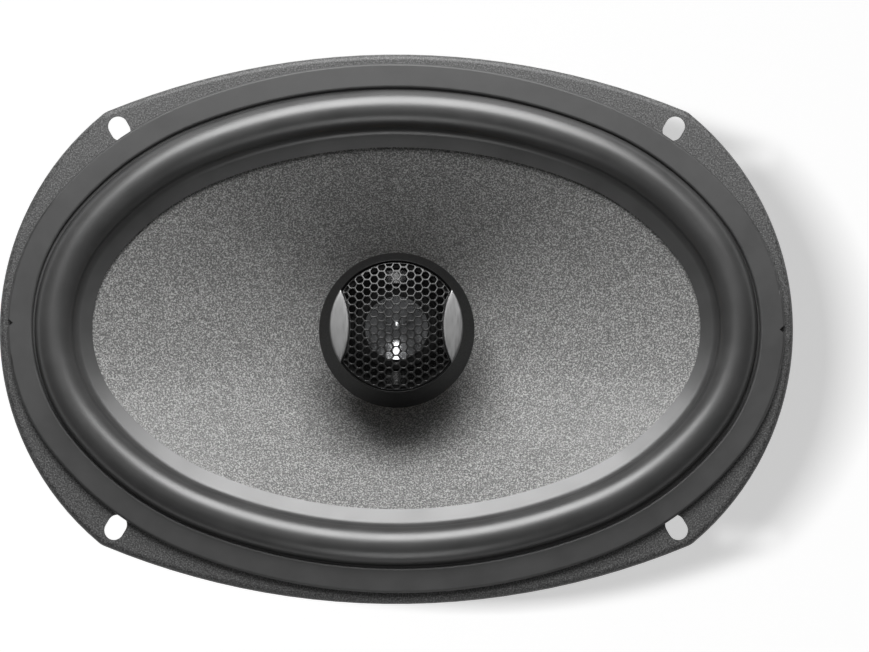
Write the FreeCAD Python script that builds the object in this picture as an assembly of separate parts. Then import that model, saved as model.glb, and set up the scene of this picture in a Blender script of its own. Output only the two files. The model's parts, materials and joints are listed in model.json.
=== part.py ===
import FreeCAD, Part
import math
import os

# Coaxial car speaker of the 6 x 9 inch class, in millimetres.
# Frame: the origin is the centre of the mounting plane, the plane of the rim's rear edge.
# +Z points out of the front, +X along the oval's long axis and +Y along its short one.
# Every ring of the oval is made of eight tangent arcs, so its offsets are exact.

# The oval where the bare cone meets the surround. "Growth" is the distance outside it.
OVAL_HALF_LENGTH = 90.2
OVAL_HALF_WIDTH = 53.9
END_TURN = 38.8              # the end arc turns this many degrees each side of X
SIDE_TURN = 68.3             # the long side's arc starts at this normal angle

# Surround and front gasket, as growth
CONE_LIP = 4.9               # glue land at the cone's rim
ROLL_GAP = 0.3               # cone's rim to the roll
ROLL_INNER = CONE_LIP + ROLL_GAP
ROLL_OUTER = 16.7
LAND_WIDTH = 4.3
LAND_OUTER = ROLL_OUTER + LAND_WIDTH
RUBBER_T = 0.7
GASKET_INSET = 0.5           # roll to the gasket's inner edge
GASKET_WIDTH = 7.4
GASKET_INNER = ROLL_OUTER + GASKET_INSET
GASKET_OUTER = GASKET_INNER + GASKET_WIDTH
GASKET_T = 2.0
GASKET_EDGE = 0.8
GASKET_FIT = 0.5             # clearance round the surround's land
GASKET_TURN = -0.5           # the glued ring sits slightly turned, in degrees
NICK_WIDTH = 2.4
NICK_DEPTH = 1.7

# Basket flange and rim, pressed from sheet
SHEET = 1.2
RIM_HEIGHT = 3.0             # mounting plane to flange front
BEND_INSIDE = 0.6
RIM_ROUND = SHEET + BEND_INSIDE
RIM_FLAT = 0.6
RIM_BAND = RIM_ROUND + RIM_FLAT
END_MARGIN = 2.7             # flange beyond the gasket, on X
SIDE_MARGIN = 3.2            # and on Y
EAR_TURN = 55.34             # the four ears: the oval's normal angle there
EAR_MARGIN = 9.73
EAR_ROUND = 6.0

# Mounting slots, one beside each ear
SLOT_TURN = 55.71
SLOT_MARGIN = 3.09           # slot's centre beyond the gasket
SLOT_R = 2.9
SLOT_SHIFT = 0.93            # each end arc's distance from the slot's centre
SLOT_TILT = 60.0

# Basket bowl, spider ledge and motor seat
WALL_MARGIN = 1.8            # wall's outer face outside the roll
WALL_GROWTH = ROLL_OUTER + WALL_MARGIN
WALL_DRAFT = 1.0
SHOULDER_Z = -12.0
LEDGE_Z = -38.0              # the spider's glue ledge, top face
LEDGE_WIDTH = 6.0
CUP_R = 46.0                 # inside of the cup below the ledge
LEDGE_R = CUP_R + LEDGE_WIDTH
SPOKE_ANGLES = (0.0, 42.0, 90.0, 138.0, 180.0, 222.0, 270.0, 318.0)
SPOKE_HALF = 6.0
TERMINAL_SPOKE_HALF = 20.0
WINDOW_TOP_BAND = 3.5        # solid bowl left above the windows
WINDOW_BOTTOM_BAND = 2.0
WINDOW_TOP = SHOULDER_Z - WINDOW_TOP_BAND
WINDOW_BOTTOM = LEDGE_Z + WINDOW_BOTTOM_BAND
WINDOW_ROUND = 3.0
VENT_COUNT = 8
VENT_WIDTH = 18.0
VENT_TOP_BAND = 3.5
VENT_BOTTOM_BAND = 4.5

# Moving assembly
CONE_LIP_SLOPE = 24.0
CONE_DROP = 0.5              # flange front down to the cone's face, at its rim
CONE_RIM_Z = RIM_HEIGHT - CONE_DROP
ROLL_RISE = 0.4
ROLL_BASE = RIM_HEIGHT + ROLL_RISE
CONE_T = 0.7
CONE_FLARE = 0.86            # 1 is a straight side, less is steeper at the neck
NECK_HEIGHT = 6.0            # spider's ledge to the cone's neck
NECK_Z = LEDGE_Z + NECK_HEIGHT
FORMER_R = 17.8
FORMER_T = 0.3
FORMER_RISE = 1.0
FORMER_TOP = NECK_Z + FORMER_RISE
COIL_T = 1.0
COIL_LENGTH = 11.0
COIL_END = 0.6               # bare former below the winding
SPIDER_T = 0.5
SPIDER_WAVES = 5
SPIDER_WAVE_HEIGHT = 1.1
SPIDER_COLLAR = 3.0
SPIDER_EDGE_GAP = 0.6        # waves end this far inside the ledge

# Motor
MOTOR_TOP = -52.0            # top plate's front face
VENT_TOP = LEDGE_Z - VENT_TOP_BAND
VENT_BOTTOM = MOTOR_TOP + VENT_BOTTOM_BAND
TOP_PLATE_R = 43.0
TOP_PLATE_T = 6.0
COIL_GAP = 0.5               # winding to the plate's bore
POLE_GAP = 0.4               # former to the pole
TOP_PLATE_BORE_R = FORMER_R + COIL_T + COIL_GAP
POLE_R = FORMER_R - FORMER_T - POLE_GAP
FLOOR_STEP = 1.7             # basket floor's bore beyond the plate's
FLOOR_BORE_R = TOP_PLATE_BORE_R + FLOOR_STEP
MAGNET_R = 45.0
MAGNET_STEP = 3.7            # magnet's bore beyond the plate's
MAGNET_BORE_R = TOP_PLATE_BORE_R + MAGNET_STEP
MAGNET_T = 16.0
YOKE_R = 43.0
YOKE_T = 6.0
POLE_RISE = 1.0              # pole's top above the top plate
YOKE_EDGE = 1.0
RIVET_INSET = 10.0           # rivets' circle inside the top plate's edge
RIVET_CIRCLE_R = TOP_PLATE_R - RIVET_INSET
RIVET_SHANK_R = 1.9
RIVET_HEAD_R = 3.2
RIVET_HEAD_T = 1.2
RIVET_DEPTH = 4.0
RIVET_COUNT = 4

# Tweeter wires, and the groove and bore that they run in
WIRE_R = 0.7
WIRE_SPACING = 1.8
WIRE_BORE_Y = 1.2            # the wires lie to this side of the bore, for an easier bend
WIRE_BENDS = (3.5, 5.0, 8.0, 5.0)
WIRE_STAND_OFF = 1.6
WIRE_DROP = 8.0              # below the board, where the wires turn up to it
WIRE_ROOM = 1.8              # groove wider and deeper than the wires by this
WIRE_CLEARANCE = 0.2         # wires to the bore's wall
GROOVE_WIDTH = WIRE_SPACING + 2 * WIRE_R + WIRE_ROOM
GROOVE_DEPTH = 2 * WIRE_R + WIRE_ROOM

# Tweeter post, from the pole's rear pocket to the housing
POST_R = 5.0
POST_BORE_R = math.hypot(WIRE_SPACING / 2, WIRE_BORE_Y) + WIRE_R + WIRE_CLEARANCE
POST_COLLAR_R = 8.0
POST_COLLAR_T = 4.0
POST_UPPER_R = 6.5
POST_END = 0.8               # the shank reaches this far past the nut
NUT_FLATS = 16.0
NUT_T = 3.6
NUT_ROOM = 1.26              # nut's corners to the pocket's wall
WASHER_T = 1.0
WASHER_FIT = 0.9
NUT_POCKET_R = NUT_FLATS / math.sqrt(3) + NUT_ROOM
WASHER_R = NUT_POCKET_R - WASHER_FIT
POCKET_SPARE = 0.4           # post's end to the groove
NUT_POCKET_DEPTH = WASHER_T + NUT_T + POST_END + POCKET_SPARE + GROOVE_DEPTH

# Tweeter motor and dome
TWEETER_COIL_R = 9.9
TWEETER_COIL_T = 0.4
TWEETER_COIL_LENGTH = 4.0
TWEETER_GAP = 0.5            # coil to the plate and to the cup
MAGNET_INSET = 0.5
TWEETER_PLATE_R = TWEETER_COIL_R - TWEETER_COIL_T - TWEETER_GAP
TWEETER_PLATE_T = 1.6
TWEETER_MAGNET_R = TWEETER_PLATE_R - MAGNET_INSET
TWEETER_MAGNET_T = 3.2
CUP_WALL = 1.2
CUP_OUTER_R = TWEETER_COIL_R + TWEETER_GAP + CUP_WALL
CUP_HEIGHT = CUP_WALL + TWEETER_MAGNET_T + TWEETER_PLATE_T
DOME_LAND = 0.6
DOME_R = TWEETER_COIL_R - DOME_LAND
DOME_DEPTH = 1.6
DOME_T = 0.2
DOME_ROOM = 0.8              # pole plate to the dome's lowest point
TWEETER_ROLL_WIDTH = 2.7
TWEETER_ROLL_HEIGHT = 0.8
TWEETER_ROLL_R = TWEETER_COIL_R + TWEETER_ROLL_WIDTH
TWEETER_LAND_WIDTH = 2.0
TWEETER_LAND_R = TWEETER_ROLL_R + TWEETER_LAND_WIDTH
LAND_GRIP = 1.2              # land held under the faceplate
SUPPORT_FIT = 0.3            # support ring outside the roll
FACEPLATE_T = 2.6
FACEPLATE_EDGE = 0.6

# Tweeter housing and its front pieces, heights from the mounting plane
HOUSING_FLOOR = -10.0
HOUSING_TOP_R = 19.7
HOUSING_FLARE = 3.6
HOUSING_BASE_R = HOUSING_TOP_R + HOUSING_FLARE
HOUSING_BAND = 1.0           # the widest ring above the floor
HOUSING_WIDEST = HOUSING_FLOOR + HOUSING_BAND
HOUSING_RIM = 1.4
HOUSING_BORE_R = HOUSING_TOP_R - HOUSING_RIM
HOUSING_BOSS_T = 3.0
HOUSING_BOSS_R = POST_UPPER_R + HOUSING_BOSS_T
HOUSING_BOSS_LENGTH = 6.0
HOUSING_WALL = 2.5
FACEPLATE_LIP = 1.3
FACEPLATE_MOUTH_R = HOUSING_BORE_R - FACEPLATE_LIP
FACEPLATE_RECESS = 2.2       # housing's top edge above the faceplate
BEZEL_LIP_T = 0.4
BEZEL_LIP_R = HOUSING_TOP_R - BEZEL_LIP_T
BEZEL_SEAT_T = 0.6
BEZEL_SEAT_WIDTH = 2.3
BEZEL_SEAT_R = HOUSING_TOP_R - BEZEL_SEAT_WIDTH
BEZEL_HEIGHT = 1.9
GRILLE_FIT = 0.2
GRILLE_R = BEZEL_LIP_R - GRILLE_FIT
GRILLE_RISE = 3.2
GRILLE_T = 0.5
GRILLE_PITCH = 2.5
GRILLE_WEB = 0.5
INSERT_WIDTH = 5.9           # housing's edge to the insert's inner edge, at its middle
INSERT_REACH = HOUSING_TOP_R - INSERT_WIDTH
INSERT_TIP = 3.3
INSERT_TIP_X = HOUSING_TOP_R - INSERT_TIP
INSERT_OVERHANG = 0.9        # stands this far above the bezel

# Terminal board on its tab, at the -Y side
TAB_SINK = 0.7               # tab's outer face inside the bowl's, at its top
TAB_DROP = 7.0               # shoulder to the tab's top
TAB_LENGTH = 21.0
TAB_HALF = 22.0
TAB_TOP = SHOULDER_Z - TAB_DROP
TAB_BOTTOM = TAB_TOP - TAB_LENGTH
BOARD_T = 1.6
BOARD_INSET = 1.0
BOARD_HALF = TAB_HALF - BOARD_INSET
BOARD_DROP = 4.0
BOARD_LENGTH = 17.5
BOARD_TOP = TAB_TOP - BOARD_DROP
BOARD_BOTTOM = BOARD_TOP - BOARD_LENGTH
BOARD_RIVET_INSET = 3.5      # rivets from the board's top and side edges
BOARD_RIVET_X = BOARD_HALF - BOARD_RIVET_INSET
BOARD_RIVET_Z = BOARD_TOP - BOARD_RIVET_INSET
BOARD_RIVET_R = 1.5
BOARD_RIVET_HEAD_R = 2.7
BOARD_RIVET_TAIL_R = 2.4
BOARD_RIVET_HEAD_T = 0.8
TERMINAL_X = (-12.0, 0.0)    # positive, then negative
BLADE_WIDTHS = (6.3, 4.8)
BLADE_T = 0.8
BLADE_LENGTH = 19.5
BLADE_CORNER = 1.0
DIMPLE_R = 0.9
DIMPLE_HEIGHT = 4.5          # above the blade's tip
EYELET_DROP = 11.5           # board's top to the eyelets
EYELET_Z = BOARD_TOP - EYELET_DROP
EYELET_R = 1.5
EYELET_HEAD = 0.6
EYELET_CLEAR = 1.8           # the tab's hole against the eyelet, so they stay insulated
BLADE_RISE = 4.0             # blade's top above the eyelet
BLADE_TOP = EYELET_Z + BLADE_RISE
BLADE_TIP = BLADE_TOP - BLADE_LENGTH
LEAD_WINDOW_HALF = 14.0
LEAD_WINDOW_RISE = 5.5
LEAD_WINDOW_DROP = 1.0
LEAD_WINDOW_TOP = EYELET_Z + LEAD_WINDOW_RISE
LEAD_WINDOW_BOTTOM = EYELET_Z - LEAD_WINDOW_DROP
CAPACITOR_X = 12.5
CAPACITOR_R = 3.7
CAPACITOR_LENGTH = 16.0
CAPACITOR_RISE = 4.5         # capacitor's top above the eyelets
CAPACITOR_TOP = EYELET_Z + CAPACITOR_RISE
CAPACITOR_BOTTOM = CAPACITOR_TOP - CAPACITOR_LENGTH
CAPACITOR_ROUND = 0.6
CAPACITOR_WIRE_R = 0.4
CAPACITOR_WIRE_OUT = 2.5     # straight wire beyond each end
CAPACITOR_WIRE_SIDE = 1.5    # the lower wire passes this far beside the body
CAPACITOR_WIRE_RISE = 3.5    # and meets the board this far above its bottom edge

# Flexible leads, from the eyelets to the back of the cone
LEAD_R = 0.7
LEAD_CONE_Y = -33.0
LEAD_BENDS = (5.0, 7.0, 3.0)

# Derived heights and radii
FLANGE_REAR = RIM_HEIGHT - SHEET
MAGNET_TOP = MOTOR_TOP - TOP_PLATE_T
YOKE_TOP = MAGNET_TOP - MAGNET_T
MOTOR_BACK = YOKE_TOP - YOKE_T
POLE_TOP = MOTOR_TOP + POLE_RISE
FLOOR_TOP = MOTOR_TOP + SHEET
COIL_MIDDLE = MOTOR_TOP - TOP_PLATE_T / 2
COIL_TOP = COIL_MIDDLE + COIL_LENGTH / 2
COIL_BOTTOM = COIL_MIDDLE - COIL_LENGTH / 2
FORMER_BOTTOM = COIL_BOTTOM - COIL_END
CONE_EDGE_Z = CONE_RIM_Z - CONE_LIP * math.tan(math.radians(CONE_LIP_SLOPE))
CUP_FLOOR_Z = HOUSING_FLOOR + CUP_WALL
TWEETER_PLATE_TOP = HOUSING_FLOOR + CUP_HEIGHT
DOME_RIM_Z = TWEETER_PLATE_TOP + DOME_ROOM + DOME_DEPTH
FACEPLATE_Z = DOME_RIM_Z + DOME_T
HOUSING_TOP = FACEPLATE_Z + FACEPLATE_T + FACEPLATE_RECESS
POCKET_TOP = MOTOR_BACK + NUT_POCKET_DEPTH
POST_BOTTOM = POCKET_TOP - WASHER_T - NUT_T - POST_END
BEZEL_SEAT_Z = HOUSING_TOP + BEZEL_SEAT_T
BEZEL_TOP = HOUSING_TOP + BEZEL_HEIGHT
INSERT_TOP = BEZEL_TOP + INSERT_OVERHANG
# the bowl's outer face on the Y axis, at the tab's top, is between its shoulder and its ledge
BOWL_SHARE = (TAB_TOP - LEDGE_Z + SHEET) / (SHOULDER_Z - LEDGE_Z + SHEET)
BOWL_SHOULDER = OVAL_HALF_WIDTH + WALL_GROWTH - WALL_DRAFT
BOWL_AT_TAB = BOWL_SHARE * BOWL_SHOULDER + (1 - BOWL_SHARE) * (LEDGE_R + SHEET)
TAB_OUTER_Y = TAB_SINK - BOWL_AT_TAB
TAB_Y = TAB_OUTER_Y + SHEET
BOARD_Y = TAB_OUTER_Y - BOARD_T

ORIGIN = FreeCAD.Vector(0, 0, 0)
UP = FreeCAD.Vector(0, 0, 1)


# ---------------------------------------------------------------- geometry helpers

def vec(x, y, z=0.0):
    return FreeCAD.Vector(x, y, z)


def direction(degrees):
    """Unit vector in the XY plane."""
    return vec(math.cos(math.radians(degrees)), math.sin(math.radians(degrees)))


def eight_arcs(centres, radii, turns):
    """The closed chain of tangent arcs whose first quarter has these end, corner and side arcs.

    Each arc is (centre, radius, start angle, sweep), anticlockwise from X. The end arc turns
    turns[0] degrees each side of X, and the side arc starts at the normal angle turns[1].
    """
    end, corner, side = centres
    end_r, corner_r, side_r = radii
    first, second = turns
    x, y = corner.x, corner.y
    return [
        (end, end_r, -first, 2 * first),
        (vec(x, y), corner_r, first, second - first),
        (side, side_r, second, 180 - 2 * second),
        (vec(-x, y), corner_r, 180 - second, second - first),
        (end * -1, end_r, 180 - first, 2 * first),
        (vec(-x, -y), corner_r, 180 + first, second - first),
        (side * -1, side_r, 180 + second, 180 - 2 * second),
        (vec(x, -y), corner_r, 360 - second, second - first),
    ]


def oval_arcs():
    """The oval that follows the ellipse with the same half axes."""
    length, width = OVAL_HALF_LENGTH, OVAL_HALF_WIDTH
    middle = math.radians((END_TURN + SIDE_TURN) / 2)
    c1, s1 = math.cos(math.radians(END_TURN)), math.sin(math.radians(END_TURN))
    c2, s2 = math.cos(math.radians(SIDE_TURN)), math.sin(math.radians(SIDE_TURN))
    # the ellipse's own radius at the middle arc's normal
    spread = (length * math.cos(middle)) ** 2 + (width * math.sin(middle)) ** 2
    middle_r = (length * width) ** 2 / spread ** 1.5
    # the end and side radii that bring the three arcs to both half axes
    along = length - middle_r * (c1 - c2)
    across = width - middle_r * (s2 - s1)
    determinant = (1 - c1) * (1 - s2) - c2 * s1
    end_r = (along * (1 - s2) - c2 * across) / determinant
    side_r = ((1 - c1) * across - s1 * along) / determinant
    end = vec(length - end_r, 0)
    corner = end + vec(c1, s1) * (end_r - middle_r)
    side = vec(0, width - side_r)
    return eight_arcs((end, corner, side), (end_r, middle_r, side_r), (END_TURN, SIDE_TURN))


def oval_point(turn, growth):
    """The point outside the oval where its normal has this angle, from 0 to 90 degrees."""
    for centre, radius, start, sweep in OVAL:
        if start <= turn <= start + sweep:
            return centre + direction(turn) * (radius + growth)


def flange_arcs():
    """The flange's outline: end and side arcs through the ears' corners, each ear rounded."""
    length = OVAL_HALF_LENGTH + GASKET_OUTER + END_MARGIN
    width = OVAL_HALF_WIDTH + GASKET_OUTER + SIDE_MARGIN
    corner = oval_point(EAR_TURN, GASKET_OUTER + EAR_MARGIN)
    end_r = ((length - corner.x) ** 2 + corner.y ** 2) / (2 * (length - corner.x))
    side_r = ((width - corner.y) ** 2 + corner.x ** 2) / (2 * (width - corner.y))
    end, side = vec(length - end_r, 0), vec(0, width - side_r)
    # the ear's centre is one ear radius inside both arcs
    reach_end, reach_side = end_r - EAR_ROUND, side_r - EAR_ROUND
    apart = (end - side).Length
    along = (reach_side ** 2 - reach_end ** 2 + apart ** 2) / (2 * apart)
    across = math.sqrt(reach_side ** 2 - along ** 2)
    unit = (end - side).normalize()
    ear = side + unit * along + vec(unit.y, -unit.x) * across
    first = math.degrees(math.atan2(ear.y - end.y, ear.x - end.x))
    second = math.degrees(math.atan2(ear.y - side.y, ear.x - side.x))
    return eight_arcs((end, ear, side), (end_r, EAR_ROUND, side_r), (first, second))


OVAL = oval_arcs()
FLANGE = flange_arcs()


def outline(arcs, growth, z):
    """A closed wire parallel to a chain of arcs."""
    edges = []
    for centre, radius, start, sweep in arcs:
        turns = [direction(start + sweep * part) for part in (0, 0.5, 1)]
        points = [centre + vec(0, 0, z) + turn * (radius + growth) for turn in turns]
        edges.append(Part.Arc(*points).toShape())
    return Part.Wire(edges)


def section(share, growth, radius, z):
    """A closed wire between a round hole (share 0) and the oval grown outwards (share 1)."""
    edges = []
    for centre, arc_r, start, sweep in OVAL:
        middle = centre * share + vec(0, 0, z)
        r = share * (arc_r + growth) + (1 - share) * radius
        points = [middle + direction(start + sweep * part) * r for part in (0, 0.5, 1)]
        edges.append(Part.Arc(*points).toShape())
    return Part.Wire(edges)


def profile(points, offset=0.0):
    """A face in the XZ plane. A point is (x, z), or (x, z, mid_x, mid_z) to reach it along an arc."""
    edges = []
    last = points[-1]
    for point in points:
        start, end = vec(last[0] + offset, 0, last[1]), vec(point[0] + offset, 0, point[1])
        if len(point) == 4:
            middle = vec(point[2] + offset, 0, point[3])
            edges.append(Part.Arc(start, middle, end).toShape())
        else:
            edges.append(Part.LineSegment(start, end).toShape())
        last = point
    return Part.Face(Part.Wire(edges))


def oval_ring(points, arcs=OVAL):
    """Sweep a profile of (growth outside the arcs, z) right round them."""
    sectors = []
    for centre, arc_r, start, sweep in arcs:
        face = profile(points, arc_r)
        face.rotate(ORIGIN, UP, start)
        face.translate(centre)
        sectors.append(face.revolve(centre, UP, sweep))
    return sectors[0].multiFuse(sectors[1:]).removeSplitter()


def turned(points):
    """Turn a profile of (radius, z) about the Z axis."""
    return profile(points).revolve(ORIGIN, UP, 360)


def tube(outer, inner, bottom, top):
    return turned([(inner, bottom), (outer, bottom), (outer, top), (inner, top)])


def cap_middle(radius, rise):
    """The point half way along a spherical cap's meridian, as (radius, distance below the crown)."""
    sphere_r = (radius ** 2 + rise ** 2) / (2 * rise)
    half = math.asin(radius / sphere_r) / 2
    return sphere_r * math.sin(half), sphere_r * (1 - math.cos(half))


def disc(radius, bottom, top, x=0.0, y=0.0):
    return Part.makeCylinder(radius, top - bottom, vec(x, y, bottom))


def block(x0, x1, y0, y1, z0, z1):
    return Part.makeBox(x1 - x0, y1 - y0, z1 - z0, vec(x0, y0, z0))


def rod_y(radius, x, z, y0, y1):
    """A round bar along Y."""
    return Part.makeCylinder(radius, y1 - y0, vec(x, y0, z), vec(0, 1, 0))


def fused(shapes):
    return shapes[0].multiFuse(shapes[1:]).removeSplitter()


def loft(wires, ruled=False):
    return Part.makeLoft(wires, True, ruled)


def wire_tube(points, radius, bends):
    """A round wire along straight runs joined by tangent arcs, with one bend radius a corner."""
    points = [vec(*p) for p in points]
    edges, here = [], points[0]
    for before, corner, after, bend in zip(points, points[1:], points[2:], bends):
        back, ahead = (before - corner).normalize(), (after - corner).normalize()
        half = back.getAngle(ahead) / 2
        first = corner + back * (bend / math.tan(half))
        second = corner + ahead * (bend / math.tan(half))
        inward = (back + ahead).normalize()
        middle = corner + inward * (bend / math.sin(half) - bend)
        edges.append(Part.LineSegment(here, first).toShape())
        edges.append(Part.Arc(first, middle, second).toShape())
        here = second
    edges.append(Part.LineSegment(here, points[-1]).toShape())
    path = Part.Wire(edges)
    circle = Part.Wire(Part.Circle(points[0], points[1] - points[0], radius).toShape())
    return path.makePipeShell([circle], True, False)


# ---------------------------------------------------------------- basket

def rim():
    """The flange's edge, bent back to the mounting plane with an even thickness."""
    outer, inner = RIM_ROUND, RIM_ROUND - SHEET
    far = 1 - math.sqrt(0.5)
    return oval_ring([
        (-SHEET, 0), (0, 0), (0, RIM_HEIGHT - outer),
        (-outer, RIM_HEIGHT, -outer * far, RIM_HEIGHT - outer * far),
        (-RIM_BAND, RIM_HEIGHT), (-RIM_BAND, FLANGE_REAR), (-outer, FLANGE_REAR),
        (-SHEET, RIM_HEIGHT - outer, -SHEET - inner * far, FLANGE_REAR - inner * far),
    ], FLANGE)


def flange_plate():
    """The flat of the flange, from the rim in to the middle of the bowl's wall."""
    plate = Part.Face(outline(FLANGE, -RIM_BAND, FLANGE_REAR)).extrude(UP * SHEET)
    hole = Part.Face(outline(OVAL, WALL_GROWTH - SHEET / 2, FLANGE_REAR - 1)).extrude(UP * (SHEET + 2))
    return plate.cut(hole)


def slot_cutter(x, y, tilt):
    """An obround hole whose end arcs lie along the tilted axis."""
    shift = direction(tilt) * SLOT_SHIFT
    side = direction(tilt + 90) * SLOT_R
    centre = vec(x, y)
    corners = [centre + shift + side, centre - shift + side, centre - shift - side, centre + shift - side]
    middle = Part.Face(Part.makePolygon(corners + corners[:1])).extrude(UP * RIM_HEIGHT)
    ends = [disc(SLOT_R, 0, RIM_HEIGHT, x + k * shift.x, y + k * shift.y) for k in (1, -1)]
    return middle.fuse(ends)


def bowl_space(inset, lift):
    """The space inside the wall and the sloping bowl, drawn in by inset and up by lift."""
    return loft([section(1, WALL_GROWTH - inset, 0, RIM_HEIGHT),
                 section(1, WALL_GROWTH - WALL_DRAFT - inset, 0, SHOULDER_Z + lift / 3),
                 section(0, 0, LEDGE_R + SHEET - inset, LEDGE_Z - SHEET + lift)], True)


def window_cutter(first, second, first_half, second_half):
    """A rounded wedge between two spokes, cut level through the sloping wall."""
    a, b = direction(first), direction(second)
    left_of_a, right_of_b = direction(first + 90), direction(second - 90)
    # the point that is one half width from each spoke's middle line
    cross = a.x * b.y - a.y * b.x
    start = a * (second_half / cross) + b * (first_half / cross)
    near, far = CUP_R * 0.6, OVAL_HALF_LENGTH * 2
    corners = [start + a * near, start + a * far, start + b * far, start + b * near]
    corners = [p + vec(0, 0, WINDOW_BOTTOM) for p in corners]
    wedge = Part.Face(Part.makePolygon(corners + corners[:1])).extrude(UP * (WINDOW_TOP - WINDOW_BOTTOM))
    rounded = []
    for edge in wedge.Edges:
        along = edge.tangentAt(edge.FirstParameter)
        beside = max(abs(along * left_of_a) < 0.001, abs(along * right_of_b) < 0.001)
        if beside and abs(along.z) < 0.001:
            rounded.append(edge)
    return wedge.makeFillet(WINDOW_ROUND, rounded)


def window_cutters():
    cutters = []
    angles = SPOKE_ANGLES + (SPOKE_ANGLES[0] + 360,)
    for first, second in zip(angles, angles[1:]):
        halves = [TERMINAL_SPOKE_HALF if angle == 270 else SPOKE_HALF for angle in (first, second)]
        cutters.append(window_cutter(first, second, *halves))
    return cutters


def vent_cutters():
    """Slots in the cup under the spider, midway between each pair of spokes."""
    cutters = []
    for n in range(VENT_COUNT):
        cutter = block(CUP_R - 5, CUP_R + 5, -VENT_WIDTH / 2, VENT_WIDTH / 2, VENT_BOTTOM, VENT_TOP)
        long_way = [e for e in cutter.Edges if e.BoundBox.XLength > 9]
        cutter = cutter.makeFillet((VENT_TOP - VENT_BOTTOM) / 2.2, long_way)
        cutter.rotate(ORIGIN, UP, (n + 0.5) * 360 / VENT_COUNT)
        cutters.append(cutter)
    return cutters


def rivet_places():
    return [direction(45 + n * 360 / RIVET_COUNT) * RIVET_CIRCLE_R for n in range(RIVET_COUNT)]


def tab():
    """The flat tab that hangs from the bowl for the terminal board."""
    plate = block(-TAB_HALF, TAB_HALF, TAB_OUTER_Y, TAB_Y, TAB_BOTTOM, TAB_TOP)
    holes = [rod_y(BOARD_RIVET_R, x, BOARD_RIVET_Z, TAB_OUTER_Y, TAB_Y)
             for x in (-BOARD_RIVET_X, BOARD_RIVET_X)]
    holes += [rod_y(EYELET_R * EYELET_CLEAR, x, EYELET_Z, TAB_OUTER_Y, TAB_Y) for x in TERMINAL_X]
    return plate.cut(holes)


def basket():
    inside = bowl_space(SHEET, SHEET)
    cup_inside = disc(CUP_R, FLOOR_TOP, LEDGE_Z + SHEET)
    shell = bowl_space(0, 0).cut([inside, cup_inside])
    cup = tube(CUP_R + SHEET, FLOOR_BORE_R, MOTOR_TOP, LEDGE_Z - SHEET / 2).cut(cup_inside)
    half = LEAD_WINDOW_HALF
    lead_window = block(-half, half, TAB_Y, -CUP_R, LEAD_WINDOW_BOTTOM, LEAD_WINDOW_TOP)
    cutters = window_cutters() + vent_cutters() + [lead_window]
    cutters += [disc(RIVET_SHANK_R, MOTOR_TOP, FLOOR_TOP, p.x, p.y) for p in rivet_places()]
    frame = fused([shell, cup]).cut(cutters)
    slot = oval_point(SLOT_TURN, GASKET_OUTER + SLOT_MARGIN)
    slots = [slot_cutter(x * slot.x, y * slot.y, x * y * SLOT_TILT) for x in (1, -1) for y in (1, -1)]
    flange = fused([rim(), flange_plate()]).cut(slots)
    return fused([flange, frame, tab().cut(inside)])


# ---------------------------------------------------------------- motor

def top_plate():
    plate = tube(TOP_PLATE_R, TOP_PLATE_BORE_R, MAGNET_TOP, MOTOR_TOP)
    holes = [disc(RIVET_SHANK_R, MOTOR_TOP - RIVET_DEPTH, MOTOR_TOP + 1, p.x, p.y) for p in rivet_places()]
    return plate.cut(holes)


def top_plate_rivets():
    rivets = []
    for place in rivet_places():
        shank = disc(RIVET_SHANK_R, MOTOR_TOP - RIVET_DEPTH, FLOOR_TOP, place.x, place.y)
        head = disc(RIVET_HEAD_R, FLOOR_TOP, FLOOR_TOP + RIVET_HEAD_T, place.x, place.y)
        rivets.append(shank.fuse(head).removeSplitter())
    return Part.makeCompound(rivets)


def magnet_ring():
    return tube(MAGNET_R, MAGNET_BORE_R, YOKE_TOP, MAGNET_TOP)


def yoke():
    """Back plate and pole in one piece, with the nut's pocket and the wires' groove at the back."""
    body = turned([
        (0, MOTOR_BACK), (YOKE_R - YOKE_EDGE, MOTOR_BACK), (YOKE_R, MOTOR_BACK + YOKE_EDGE),
        (YOKE_R, YOKE_TOP), (POLE_R, YOKE_TOP), (POLE_R, POLE_TOP), (0, POLE_TOP),
    ])
    bore = disc(POST_R, MOTOR_BACK, POLE_TOP)
    pocket = disc(NUT_POCKET_R, MOTOR_BACK, POCKET_TOP)
    half = GROOVE_WIDTH / 2
    groove = block(-half, half, -YOKE_R, 0, MOTOR_BACK, MOTOR_BACK + GROOVE_DEPTH)
    return body.cut([bore, pocket, groove])


# ---------------------------------------------------------------- cone, coil, spider, surround

def cone_solid(drop):
    """The space in front of the cone, moved back by drop."""
    levels = 5
    wires = []
    for n in range(levels):
        share = n / (levels - 1)
        z = NECK_Z + (CONE_EDGE_Z - NECK_Z) * share ** CONE_FLARE
        wires.append(section(share, 0, FORMER_R, z - drop))
    return loft(wires)


def cone():
    """Paper-thin shell from the round neck to the oval, with a glue land round its rim."""
    rim = Part.Face(section(1, 0, 0, CONE_EDGE_Z - CONE_T)).extrude(UP * CONE_T)
    shell = cone_solid(CONE_T).fuse(rim).cut(cone_solid(0))
    shell = shell.cut(disc(FORMER_R, NECK_Z - 3, NECK_Z + 3))
    land = oval_ring([
        (0, CONE_EDGE_Z - CONE_T), (CONE_LIP, CONE_RIM_Z - CONE_T), (CONE_LIP, CONE_RIM_Z), (0, CONE_EDGE_Z),
    ])
    return fused([shell, land])


def voice_coil_former():
    return tube(FORMER_R, FORMER_R - FORMER_T, FORMER_BOTTOM, FORMER_TOP)


def voice_coil():
    return tube(FORMER_R + COIL_T, FORMER_R, COIL_BOTTOM, COIL_TOP)


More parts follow.
